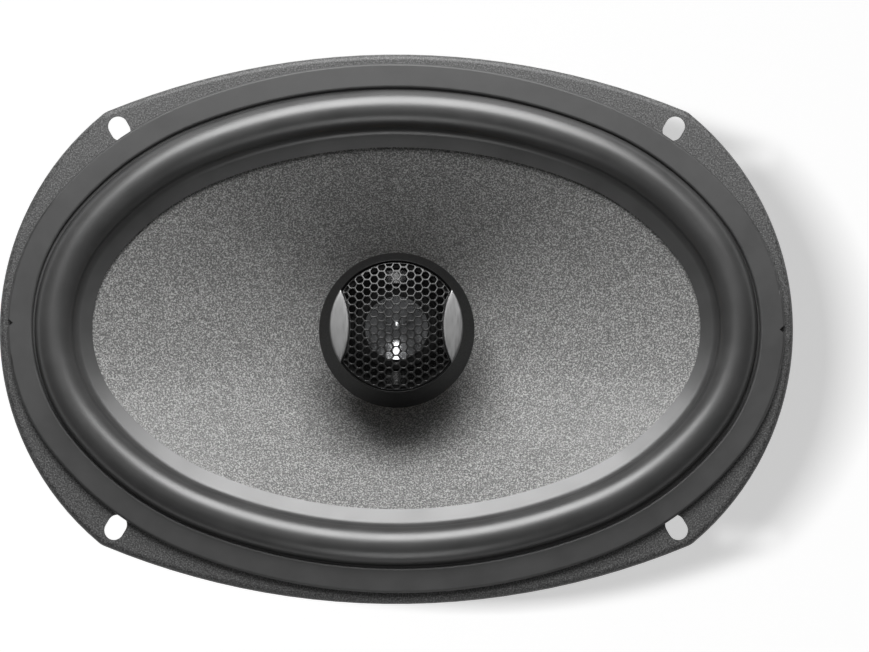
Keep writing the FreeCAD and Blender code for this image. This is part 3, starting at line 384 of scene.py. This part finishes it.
def cone_fibre():
    """Woven-glass cone under a grey coat: fine bright flecks over a mottled grey."""
    material, tree, shader = new_material("cone_fibre", grey(0.2), 0.42)
    vector = coordinates(tree)
    flecks = noise(tree, vector, 2100, 2, 0.7)
    cloud = noise(tree, vector, 160, 4, 0.6)
    base = ramp(tree, flecks, [(0.38, grey(0.1)), (0.5, (0.19, 0.19, 0.187)), (0.64, (0.5, 0.5, 0.49))])
    shade = ramp(tree, cloud, [(0.3, grey(0.9)), (0.7, grey(1.0))])
    tree.links.new(mixed(tree, 1.0, base, shade, "MULTIPLY"), shader.inputs["Base Color"])
    tree.links.new(spread(tree, flecks, 0.34, 0.52), shader.inputs["Roughness"])
    bump(tree, shader, flecks, 0.08, 0.8)
    return material


def moulded_plastic(name, level, roughness, specular=0.5):
    """Dark moulded plastic with spark-eroded grain."""
    material, tree, shader = new_material(name, grey(level), roughness, specular=specular)
    vector = coordinates(tree)
    grain = noise(tree, vector, 1800, 3, 0.6)
    tint(tree, shader, grain, [(0.3, grey(level * 0.8)), (0.7, grey(level * 1.25))])
    tree.links.new(spread(tree, grain, roughness - 0.05, roughness + 0.08), shader.inputs["Roughness"])
    bump(tree, shader, grain, 0.03, 0.5)
    return material


def brushed_metal(name, base, roughness, across=4000.0, along=60.0, axis=0):
    """Metal with a grain along one axis."""
    material, tree, shader = new_material(name, base, roughness, 1.0)
    scale = [across, across, across]
    scale[axis] = along
    streaks = noise(tree, coordinates(tree, [s / 1000 for s in scale]), 1000, 2)
    dark = tuple(v * 0.9 for v in base)
    tint(tree, shader, streaks, [(0.3, dark), (0.7, base)])
    tree.links.new(spread(tree, streaks, roughness - 0.05, roughness + 0.08), shader.inputs["Roughness"])
    bump(tree, shader, streaks, 0.006, 0.5)
    return material


def plated_steel():
    """Clear zinc plate on pressed or turned steel, faintly spangled."""
    material, tree, shader = new_material("plated_steel", (0.5, 0.49, 0.46), 0.38, 1.0)
    vector = coordinates(tree)
    spangle = voronoi(tree, vector, 260, "F1", "Color")
    split = tree.nodes.new("ShaderNodeSeparateColor")
    tree.links.new(spangle, split.inputs["Color"])
    colour = ramp(tree, split.outputs["Red"], [(0.0, (0.42, 0.41, 0.385)), (1.0, (0.56, 0.55, 0.52))])
    tree.links.new(colour, shader.inputs["Base Color"])
    tree.links.new(spread(tree, noise(tree, vector, 300, 4), 0.3, 0.5), shader.inputs["Roughness"])
    bump(tree, shader, noise(tree, vector, 700, 3), 0.02, 0.4)
    return material


def ferrite():
    """Sintered ferrite: grey-black, ground flat, with a fine open grain."""
    material, tree, shader = new_material("ferrite", grey(0.055), 0.6)
    vector = coordinates(tree)
    grain = noise(tree, vector, 1200, 5, 0.7)
    tint(tree, shader, grain, [(0.3, grey(0.032)), (0.7, grey(0.085))])
    tree.links.new(spread(tree, grain, 0.5, 0.72), shader.inputs["Roughness"])
    bump(tree, shader, grain, 0.05, 0.6)
    return material


def woven_cloth(name, dark, light, pitch):
    """Plain-weave cloth dipped in resin, with threads this many millimetres apart."""
    material, tree, shader = new_material(name, light, 0.7)
    vector = coordinates(tree)
    threads = []
    for direction in ("X", "Y"):
        wave = tree.nodes.new("ShaderNodeTexWave")
        wave.bands_direction = direction
        # a band repeats every 2 pi / (20 x scale) of the coordinate
        wave.inputs["Scale"].default_value = 2 * math.pi / (20 * pitch * MM)
        wave.inputs["Distortion"].default_value = 0.6
        wave.inputs["Detail"].default_value = 1.0
        tree.links.new(vector, wave.inputs["Vector"])
        threads.append(wave.outputs["Fac"])
    weave = tree.nodes.new("ShaderNodeMath")
    weave.operation = "MAXIMUM"
    tree.links.new(threads[0], weave.inputs[0])
    tree.links.new(threads[1], weave.inputs[1])
    tint(tree, shader, weave.outputs[0], [(0.2, dark), (0.9, light)])
    bump(tree, shader, weave.outputs[0], 0.12, 0.8)
    return material


def copper_winding():
    """Fine enamelled wire: rings stacked along Z."""
    material, tree, shader = new_material("copper_winding", (0.6, 0.25, 0.1), 0.3, 1.0)
    wave = tree.nodes.new("ShaderNodeTexWave")
    wave.bands_direction = "Z"
    wave.inputs["Scale"].default_value = 2 * math.pi / (20 * 0.22 * MM)
    tree.links.new(coordinates(tree), wave.inputs["Vector"])
    tint(tree, shader, wave.outputs["Fac"], [(0.1, (0.25, 0.08, 0.03)), (0.8, (0.68, 0.3, 0.13))])
    bump(tree, shader, wave.outputs["Fac"], 0.06, 0.8)
    return material


def former_film():
    """Amber film former with a slight gloss."""
    material, tree, shader = new_material("former_film", (0.42, 0.22, 0.06), 0.3)
    vector = coordinates(tree)
    tint(tree, shader, noise(tree, vector, 80, 3), [(0.3, (0.34, 0.17, 0.045)), (0.7, (0.5, 0.28, 0.09))])
    bump(tree, shader, noise(tree, vector, 500, 2), 0.02, 0.3)
    return material


def tinsel_braid():
    """Fine copper tinsel over a thread core: bright diagonal strands."""
    material, tree, shader = new_material("tinsel_braid", (0.6, 0.36, 0.2), 0.35, 1.0)
    strands = voronoi(tree, coordinates(tree, (1, 0.5, 0.5)), 3200)
    tint(tree, shader, strands, [(0.1, (0.72, 0.45, 0.26)), (0.6, (0.3, 0.14, 0.06))])
    bump(tree, shader, strands, -0.15, 0.8)
    return material


def fibre_board():
    """Pressed phenolic board: brown, faintly speckled, with a dull gloss."""
    material, tree, shader = new_material("fibre_board", (0.2, 0.09, 0.035), 0.45)
    vector = coordinates(tree)
    speckle = noise(tree, vector, 900, 4, 0.7)
    tint(tree, shader, speckle, [(0.3, (0.13, 0.055, 0.02)), (0.7, (0.26, 0.13, 0.055))])
    bump(tree, shader, speckle, 0.02, 0.4)
    return material


def shrink_sleeve():
    """Printed-film sleeve, plain dark blue with a tight gloss."""
    material, tree, shader = new_material("shrink_sleeve", (0.012, 0.03, 0.11), 0.24)
    vector = coordinates(tree)
    tint(tree, shader, noise(tree, vector, 150, 2), [(0.3, (0.01, 0.025, 0.09)), (0.7, (0.016, 0.04, 0.14))])
    bump(tree, shader, noise(tree, vector, 260, 2), 0.05, 0.3)
    return material


def glue():
    """Black rubbery adhesive with a wet look."""
    material, tree, shader = new_material("glue", grey(0.012), 0.22)
    vector = coordinates(tree)
    tint(tree, shader, noise(tree, vector, 200, 2), [(0.3, grey(0.009)), (0.7, grey(0.018))])
    bump(tree, shader, noise(tree, vector, 350, 2), 0.15, 0.4)
    return material


MATERIALS = {
    "basket_paint": powder_coat(),
    "gasket_rubber": gasket_rubber(),
    "surround_rubber": surround_rubber(),
    "cone_fibre": cone_fibre(),
    "former_film": former_film(),
    "copper": copper_winding(),
    "spider_cloth": woven_cloth("spider_cloth", (0.16, 0.085, 0.02), (0.5, 0.31, 0.1), 0.7),
    "plated_steel": plated_steel(),
    "ferrite": ferrite(),
    "post_aluminium": brushed_metal("post_aluminium", (0.62, 0.62, 0.64), 0.3, axis=1),
    "housing_plastic": moulded_plastic("housing_plastic", 0.007, 0.34, specular=0.08),
    "magnet_nickel": brushed_metal("magnet_nickel", (0.66, 0.63, 0.58), 0.2),
    "dome_aluminium": brushed_metal("dome_aluminium", (0.86, 0.87, 0.89), 0.16, 900.0, 900.0),
    "tweeter_cloth": woven_cloth("tweeter_cloth", grey(0.012), grey(0.05), 0.4),
    "faceplate_gloss": moulded_plastic("faceplate_gloss", 0.01, 0.16),
    "grille_paint": moulded_plastic("grille_paint", 0.014, 0.28),
    "insert_satin": brushed_metal("insert_satin", (0.31, 0.31, 0.31), 0.44, 3000.0, 300.0, axis=1),
    "board_fibre": fibre_board(),
    "rivet_brass": brushed_metal("rivet_brass", (0.68, 0.55, 0.3), 0.3),
    "terminal_tin": brushed_metal("terminal_tin", (0.7, 0.69, 0.66), 0.32, axis=2),
    "tinsel_braid": tinsel_braid(),
    "capacitor_sleeve": shrink_sleeve(),
    "wire_insulation": moulded_plastic("wire_insulation", 0.03, 0.4),
    "glue": glue(),
}


def finish_piece(piece, material_name, body=None, replaced=()):
    """Give a new piece its material, attach it to the body it rides on, if any, and hide the nodes it
    replaces.
    """
    piece.data.materials.clear()
    piece.data.materials.append(MATERIALS[material_name])
    if body:
        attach(piece, body)
    if replaced:
        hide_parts(*replaced)


def paint_nodes():
    """Every CAD node's slots get the material of its record slot."""
    for part in frame["record"]["subparts"]:
        mesh = NODES[part["node"]].data
        if not mesh.materials:
            mesh.materials.append(None)
        for index in range(len(mesh.materials)):
            mesh.materials[index] = MATERIALS[part["material_slot"]]


# ---------------------------------------------------------------- soft pieces

def surround():
    """Half roll with its two lands, one smooth sheet of even thickness."""
    middle = (ROLL_INNER + ROLL_OUTER) / 2
    half = RUBBER_T / 2
    radius = (ROLL_OUTER - ROLL_INNER) / 2 - half
    lip_in = (0.05, CONE_EDGE_Z + half + 0.05)
    lip_out = (CONE_LIP - 0.7, CONE_EDGE_Z + half + 0.05 + (CONE_LIP - 0.75) * CONE_LIP_RISE)
    line = [lip_in]
    steps = 6
    for n in range(1, steps + 1):
        t = n / steps
        line.append((lip_in[0] + (lip_out[0] - lip_in[0]) * t, lip_in[1] + (lip_out[1] - lip_in[1]) * t))
    roll = arc_points((middle, ROLL_BASE), radius, 172, 0, 34)
    line += roll
    land_z = FLANGE_FRONT + half
    line += [(ROLL_OUTER + 0.3, land_z), (ROLL_OUTER + 2.2, land_z), (LAND_OUTER, land_z)]
    profile = thick(line, RUBBER_T)
    stations = oval_stations(1.0)
    piece = swept("surround_roll", stations, profile, 60)
    finish_piece(piece, "surround_rubber", replaced=("surround",))
    radial_blend(piece)


def spider():
    """Corrugated disc of dipped cloth."""
    span = SPIDER_LAST_R - SPIDER_FIRST_R
    base = SPIDER_LEDGE_Z + SPIDER_T / 2
    line = [(FORMER_R, base), (SPIDER_FIRST_R - 0.4, base)]
    steps = 90
    for n in range(steps + 1):
        t = n / steps
        fade = min(1, 8 * t, 8 * (1 - t))
        wave = math.sin(2 * math.pi * SPIDER_WAVES * t)
        line.append((SPIDER_FIRST_R + span * t, base + fade * SPIDER_WAVE_HEIGHT * wave))
    line += [(SPIDER_LAST_R + 0.4, base), (SPIDER_OUTER_R, base)]
    profile = thick(line, SPIDER_T * 0.9)
    stations = round_stations(200)
    piece = swept("spider_cloth", stations, profile, 60)
    finish_piece(piece, "spider_cloth", replaced=("spider",))
    radial_blend(piece)


def tweeter_roll():
    """The small coated-cloth roll round the inverted dome."""
    middle = (TWEETER_COIL_R + TWEETER_ROLL_R) / 2
    radius = (TWEETER_ROLL_R - TWEETER_COIL_R) / 2
    base = DOME_RIM_Z + 0.1
    line = [(TWEETER_COIL_R - 0.5, base + 0.12), (TWEETER_COIL_R, base + 0.12)]
    line += [(middle - radius * math.cos(a), base + 0.12 + 0.75 * math.sin(a))
             for a in (math.pi * n / 20 for n in range(1, 20))]
    line += [(TWEETER_ROLL_R + 0.1, base), (TWEETER_LAND_R, base)]
    profile = thick(line, 0.16)
    stations = round_stations(128)
    piece = swept("tweeter_roll", stations, profile, 60)
    finish_piece(piece, "tweeter_cloth", replaced=("tweeter_surround",))
    radial_blend(piece)


# ---------------------------------------------------------------- tweeter

def lathed(name, profile, material, body, replaced, sides=144, sharp=35):
    """Turn a closed profile of (radius, z) about Z and finish it."""
    piece = swept(name, round_stations(sides), profile, sharp)
    finish_piece(piece, material, body, replaced)


def dome():
    """Inverted metal dome with a small raised button in the middle."""
    depth, edge, button = 1.6, TWEETER_COIL_R - 0.6, 2.6
    sphere_r = (edge * edge + depth * depth) / (2 * depth)
    line = [(0.02, 0.55), (0.6, 0.53), (1.2, 0.43), (1.8, 0.26), (2.3, 0.1), (button, 0.03)]
    line = [(r, DOME_RIM_Z - depth + z) for r, z in line]
    for n in range(1, 25):
        r = button + (edge - button) * n / 24
        line.append((r, DOME_RIM_Z - depth + sphere_r - math.sqrt(sphere_r ** 2 - r * r)))
    line += [(edge + 0.3, DOME_RIM_Z + 0.05), (TWEETER_COIL_R, DOME_RIM_Z + 0.06)]
    lathed("dome", thick(line, 0.14), "dome_aluminium", "tweeter_dome", ("tweeter_dome",), 128, 70)


def bezel():
    """Thin dark ring round the mesh, its top edge rounded."""
    r, z = HOUSING_TOP_R, BEZEL_TOP
    profile = [(r - 2.3, BEZEL_SEAT_Z - 0.6), (r - 0.05, BEZEL_SEAT_Z - 0.6), (r, BEZEL_SEAT_Z - 0.45),
               (r, z - 0.2), (r - 0.06, z - 0.06), (r - 0.18, z), (r - 0.3, z - 0.06), (r - 0.38, z - 0.2),
               (r - 0.4, BEZEL_SEAT_Z), (r - 2.3, BEZEL_SEAT_Z)]
    lathed("bezel", profile, "housing_plastic", "basket", ("tweeter_bezel",))


def grille_height(x, y):
    """The mesh's outer face."""
    sphere_r = (GRILLE_R ** 2 + GRILLE_RISE ** 2) / (2 * GRILLE_RISE)
    top = BEZEL_SEAT_Z + GRILLE_T + GRILLE_RISE
    return top - (sphere_r - math.sqrt(sphere_r ** 2 - x * x - y * y))


def insert_arc():
    """The inserts' inner arc as (distance of its centre from the axis, radius)."""
    tip_y = math.sqrt(HOUSING_TOP_R ** 2 - INSERT_TIP_X ** 2)
    sagitta = INSERT_TIP_X - INSERT_REACH
    radius = (tip_y ** 2 + sagitta ** 2) / (2 * sagitta)
    return INSERT_REACH + radius, radius


def mesh_outline(gap):
    """The mesh's edge, anticlockwise: round at the top and bottom, hollow beside the inserts."""
    centre_x, radius = insert_arc()
    r = GRILLE_R - gap
    hollow_r = radius + gap
    # the angle at which the round edge meets the hollow one
    meet_x = (r * r - hollow_r * hollow_r + centre_x * centre_x) / (2 * centre_x)
    meet = math.acos(meet_x / r)
    hollow = math.asin(r * math.sin(meet) / hollow_r)
    points = []
    for side in (0, math.pi):
        for n in range(25):
            a = 2 * hollow * n / 24 - hollow
            x, y = centre_x - hollow_r * math.cos(a), hollow_r * math.sin(a)
            turned_x = x * math.cos(side) - y * math.sin(side)
            turned_y = x * math.sin(side) + y * math.cos(side)
            points.append((turned_x, turned_y))
        for n in range(1, 48):
            a = side + meet + (math.pi - 2 * meet) * n / 48
            points.append((r * math.cos(a), r * math.sin(a)))
    return points


def mesh_room(x, y):
    """How far a point lies inside the mesh's open area, past the margin kept round it."""
    centre_x, radius = insert_arc()
    beside = math.hypot(abs(x) - centre_x, y) - radius
    return min(GRILLE_R - math.hypot(x, y), beside) - GRILLE_MARGIN


def clipped(points):
    """The part of a small ring of points that lies in the mesh's open area."""
    kept = []
    for n, point in enumerate(points):
        last = points[n - 1]
        room, last_room = mesh_room(*point), mesh_room(*last)
        if (room > 0) != (last_room > 0):
            t = last_room / (last_room - room)
            kept.append((last[0] + (point[0] - last[0]) * t, last[1] + (point[1] - last[1]) * t))
        if room > 0:
            kept.append(point)
    return [p for n, p in enumerate(kept) if math.dist(p, kept[n - 1]) > 0.08]


def area(points):
    """The area inside a ring of points, positive if it runs anticlockwise."""
    pairs = [(points[n - 1], points[n]) for n in range(len(points))]
    return sum(a[0] * b[1] - b[0] * a[1] for a, b in pairs) / 2


def hex_ring(x, y, corner):
    """A six-sided ring with two corners along X, each corner eased, 24 points."""
    points = []
    for n in range(24):
        a = 2 * math.pi * n / 24
        off = (a % (math.pi / 3)) - math.pi / 6
        r = min(corner * math.cos(math.pi / 6) / math.cos(off), corner * 0.96)
        points.append((x + r * math.cos(a), y + r * math.sin(a)))
    return points


def grille_cells():
    """Staggered columns of holes, those at the mesh's edge cut off by it."""
    step = GRILLE_PITCH * math.sqrt(3) / 2
    corner = (GRILLE_PITCH - GRILLE_WEB) / math.sqrt(3)
    cells = []
    for column in range(-9, 10):
        for row in range(-9, 10):
            x, y = column * step, (row + 0.5 * (column % 2)) * GRILLE_PITCH
            points = clipped(hex_ring(x, y, corner))
            if len(points) > 4 and area(points) > 0.5:
                cells.append(points)
    return cells


def widened(points, by):
    """The ring with each point moved square to its neighbours' line."""
    moved = []
    for n, (x, y) in enumerate(points):
        before, after = points[n - 1], points[(n + 1) % len(points)]
        dx, dy = after[0] - before[0], after[1] - before[1]
        length = math.hypot(dx, dy)
        moved.append((x + dy / length * by, y - dx / length * by))
    return moved


def grille():
    """Domed mesh with eased hole edges on both faces."""
    ease = 0.12
    verts, faces = [], []

    def ring(points, drop):
        first = len(verts)
        verts.extend(Vector((x, y, grille_height(x, y) - drop)) * MM for x, y in points)
        return list(range(first, first + len(points)))

    walls = []
    for cell in grille_cells():
        wide, half = widened(cell, ease), widened(cell, ease * 0.35)
        walls.append([(wide, 0.0), (half, ease * 0.3), (cell, ease),
                      (cell, GRILLE_T - ease), (wide, GRILLE_T)])
    walls.append([(mesh_outline(0.1), 0.0), (mesh_outline(0.04), 0.1), (mesh_outline(0.04), GRILLE_T)])
    tops, bottoms = [], []
    for wall in walls:
        rings = [ring(points, drop) for points, drop in wall]
        for a, b in zip(rings, rings[1:]):
            faces.extend((a[n], a[n - 1], b[n - 1], b[n]) for n in range(len(a)))
        tops.append(rings[0])
        bottoms.append(rings[-1])
    for rings in (tops, bottoms):
        flat = [i for r in rings for i in r]
        start, loops = 0, []
        for r in rings:
            loops.append(list(range(start, start + len(r))))
            start += len(r)
        points = [Vector((verts[i][0] / MM, verts[i][1] / MM)) for i in flat]
        edges = [(loop[n - 1], loop[n]) for loop in loops for n in range(len(loop))]
        made, _, triangles, _, _, _ = delaunay_2d_cdt(points, edges, [], 0, 1e-6)
        rims = [[points[n] for n in loop] for loop in loops]
        middles = [sum(rim, Vector((0, 0))) / len(rim) for rim in rims]
        for face in triangles:
            middle = sum((made[n] for n in face), Vector((0, 0))) / len(face)
            near = [rim for rim, c in zip(rims[:-1], middles) if (middle - c).length < GRILLE_PITCH]
            if inside(middle, rims[-1]) and not any(inside(middle, rim) for rim in near):
                faces.append(tuple(flat[n] for n in face))
    piece = new_object("tweeter_mesh", verts, faces, 75)
    finish_piece(piece, "grille_paint", "basket", ("tweeter_grille",))


def inside(point, polygon):
    """True if the point is inside the polygon."""
    hit = False
    for n in range(len(polygon)):
        a, b = polygon[n - 1], polygon[n]
        if (a[1] > point[1]) != (b[1] > point[1]):
            if point[0] < a[0] + (b[0] - a[0]) * (point[1] - a[1]) / (b[1] - a[1]):
                hit = not hit
    return hit


def insert(side, name, node):
    """Satin lens with a polished, rounded edge and a slight crown."""
    centre_x, radius = insert_arc()
    count = 40

    def outline(gap):
        points = []
        outer_r, inner_r = HOUSING_TOP_R - gap, radius - gap
        meet_x = (outer_r ** 2 - inner_r ** 2 + centre_x ** 2) / (2 * centre_x)
        a_out = math.acos(meet_x / outer_r)
        a_in = math.asin(outer_r * math.sin(a_out) / inner_r)
        for n in range(count):
            a = -a_out + 2 * a_out * n / count
            points.append((outer_r * math.cos(a), outer_r * math.sin(a)))
        for n in range(count):
            a = a_in - 2 * a_in * n / count
            points.append((centre_x - inner_r * math.cos(a), inner_r * math.sin(a)))
        return [(side * x, y) for x, y in points]

    # each ring is (inset, depth below the top)
    rings = [(0.05, INSERT_TOP - BEZEL_SEAT_Z - 1.3), (0.0, 0.45), (0.06, 0.2), (0.22, 0.07), (0.45, 0.02),
             (1.2, 0.0), (2.0, 0.0)]
    verts, faces = [], []
    for inset, drop in rings:
        for x, y in outline(inset):
            lean = 0.35 * (math.hypot(x, y) - INSERT_REACH) / (HOUSING_TOP_R - INSERT_REACH)
            verts.append(Vector((x, y, INSERT_TOP - drop - lean)) * MM)
    size = 2 * count
    for level in range(len(rings) - 1):
        for n in range(size):
            a, b = level * size + n, level * size + (n + 1) % size
            faces.append((a, b, b + size, a + size))
    faces.append(tuple(range((len(rings) - 1) * size, len(rings) * size)))
    faces.append(tuple(range(size))[::-1])
    piece = new_object(name, verts, faces, 50)
    finish_piece(piece, "insert_satin", "basket", (node,))


# ---------------------------------------------------------------- small parts behind

def tube_along(name, points, radius, sides=12):
    """A round wire through the points, smoothed by a spline."""
    curve = bpy.data.curves.new(name + "_path", "CURVE")
    curve.dimensions = "3D"
    spline = curve.splines.new("NURBS")
    spline.points.add(len(points) - 1)
    for target, p in zip(spline.points, points):
        target.co = (p[0] * MM, p[1] * MM, p[2] * MM, 1)
    spline.order_u = 3
    spline.use_endpoint_u = True
    spline.resolution_u = 8
    curve.bevel_depth = radius * MM
    curve.bevel_resolution = max(1, sides // 4 - 1)
    curve.use_fill_caps = True
    holder = bpy.data.objects.new(name, curve)
    mesh = bpy.data.meshes.new_from_object(holder)
    mesh.name = name
    bpy.data.objects.remove(holder)
    mesh.polygons.foreach_set("use_smooth", [True] * len(mesh.polygons))
    piece = bpy.data.objects.new(name, mesh)
    bpy.context.scene.collection.objects.link(piece)
    return piece


def tinsel_leads():
    """Flexible leads from the board's eyelets up to the back of the cone."""
    for sign in ("positive", "negative"):
        low, high = node_box("tinsel_lead_" + sign)
        x = (low[0] + high[0]) / 2
        start_z, end_z = low[2] + 0.75, high[2] - 0.3
        points = [(x, low[1], start_z), (x, low[1] + 6, start_z - 0.3), (x, low[1] + 13, start_z + 0.3),
                  (x, high[1] - 8, start_z + 4.5), (x, high[1] - 2, end_z - 6), (x, high[1] - 0.7, end_z)]
        piece = tube_along("lead_" + sign, points, 0.7)
        finish_piece(piece, "tinsel_braid", replaced=("tinsel_lead_" + sign,))
        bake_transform(piece)


def glue_beads():
    """Adhesive fillets where the spider and the cone meet the former."""
    stations = round_stations(120)
    spider_top = SPIDER_LEDGE_Z + SPIDER_T
    beads = {"spider_glue": (spider_top, 1.6), "neck_glue_front": (NECK_Z + 0.1, 1.0)}
    for name, (z, size) in beads.items():
        fillet = arc_points((FORMER_R + size, z + size), size, 180, 270, 8)
        profile = [(FORMER_R, z)] + fillet
        piece = swept(name, stations, profile, 50)
        finish_piece(piece, "glue", "cone")


# ---------------------------------------------------------------- studio

def floor():
    size = 3.0
    verts = [Vector((x * size, y * size, FLOOR_Z * MM)) for x, y in ((-1, -1), (1, -1), (1, 1), (-1, 1))]
    plane = new_object("floor", verts, [(0, 1, 2, 3)])
    material, _, shader = new_material("floor_white", grey(0.8), 0.9, specular=0.0)
    shader.inputs["Emission Color"].default_value = (1, 1, 1, 1)
    shader.inputs["Emission Strength"].default_value = 0.53
    plane.data.materials.append(material)
    return plane


def area_light(name, where, size, power, aim=(0, 0, 0)):
    """A soft rectangular light."""
    light = bpy.data.lights.new(name, "AREA")
    light.shape = "RECTANGLE"
    light.size, light.size_y = size
    light.energy = power
    holder = bpy.data.objects.new(name, light)
    holder.location = where
    holder.rotation_mode = "QUATERNION"
    holder.rotation_quaternion = (Vector(aim) - Vector(where)).to_track_quat("-Z", "Y")
    bpy.context.scene.collection.objects.link(holder)
    return holder


def receivers(name, pieces):
    """The collection of the pieces that a light reaches."""
    group = bpy.data.collections.new(name)
    for piece in pieces:
        group.objects.link(piece)
    return group


def lights(plane):
    """Soft boxes beyond the oval's upper side, strips for the dome and a light for the floor."""
    deep = ("dome", "tweeter_roll", NODES["tweeter_faceplate"].name)
    pieces = [p for p in bpy.context.scene.objects if p.type == "MESH" and p != plane]
    speaker = receivers("lit_speaker", [p for p in pieces if p.name not in deep])
    raised = receivers("lit_raised", [p for p in speaker.objects if p != NODES["cone"]])
    behind_mesh = receivers("lit_behind_mesh", [p for p in pieces if p.name in deep])
    ground = receivers("lit_floor", [plane])
    # each light's name, place, size and power, and the pieces it reaches
    for name, where, size, power, group in (
            ("key", (-0.04, 0.38, 0.38), (0.42, 0.26), 2.6, speaker),
            ("high_box", (0.0, 0.46, 0.50), (0.7, 0.5), 2.7, speaker),
            ("low_strip", (0.0, 0.62, 0.26), (0.5, 0.2), 2.3, raised),
            ("near_box", (0.0, -0.6, 0.36), (0.12, 0.3), 0.6, raised),
            ("overhead", (-0.3, 0.0, 1.0), (0.6, 0.6), 0.34, speaker),
            ("far_strip", (0.0, 0.46, 0.50), (0.07, 0.5), 0.5, behind_mesh),
            ("near_strip", (0.0, -0.6, 0.36), (0.09, 0.3), 1.2, behind_mesh),
            ("floor_light", (-0.96, -0.03, 3.0), (0.2, 0.67), 56, ground)):
        area_light(name, where, size, power).light_linking.receiver_collection = group
    world = bpy.data.worlds.new("studio")
    world.use_nodes = True
    background = world.node_tree.nodes["Background"]
    background.inputs["Color"].default_value = (1, 1, 1, 1)
    background.inputs["Strength"].default_value = 0.075
    bpy.context.scene.world = world


def camera():
    """Almost straight above, a little to the right of the speaker's middle."""
    data = bpy.data.cameras.new("camera")
    data.lens = 126.1
    data.sensor_width = 36
    distance = 0.9
    lean = math.radians(5.0)
    aim = Vector((11.3 * MM, 0.2 * MM, FLANGE_FRONT * MM))
    back = Vector((0, -math.sin(lean), math.cos(lean)))
    holder = bpy.data.objects.new("camera", data)
    holder.location = aim + back * distance
    holder.rotation_mode = "QUATERNION"
    holder.rotation_quaternion = (-back).to_track_quat("-Z", "Y")
    bpy.context.scene.collection.objects.link(holder)
    bpy.context.scene.camera = holder


camera()
paint_nodes()
surround()
spider()
tweeter_roll()
dome()
bezel()
grille()
insert(1, "trim_right", "insert_right")
insert(-1, "trim_left", "insert_left")
tinsel_leads()
glue_beads()
lights(floor())
bpy.context.scene.view_settings.view_transform = "Standard"
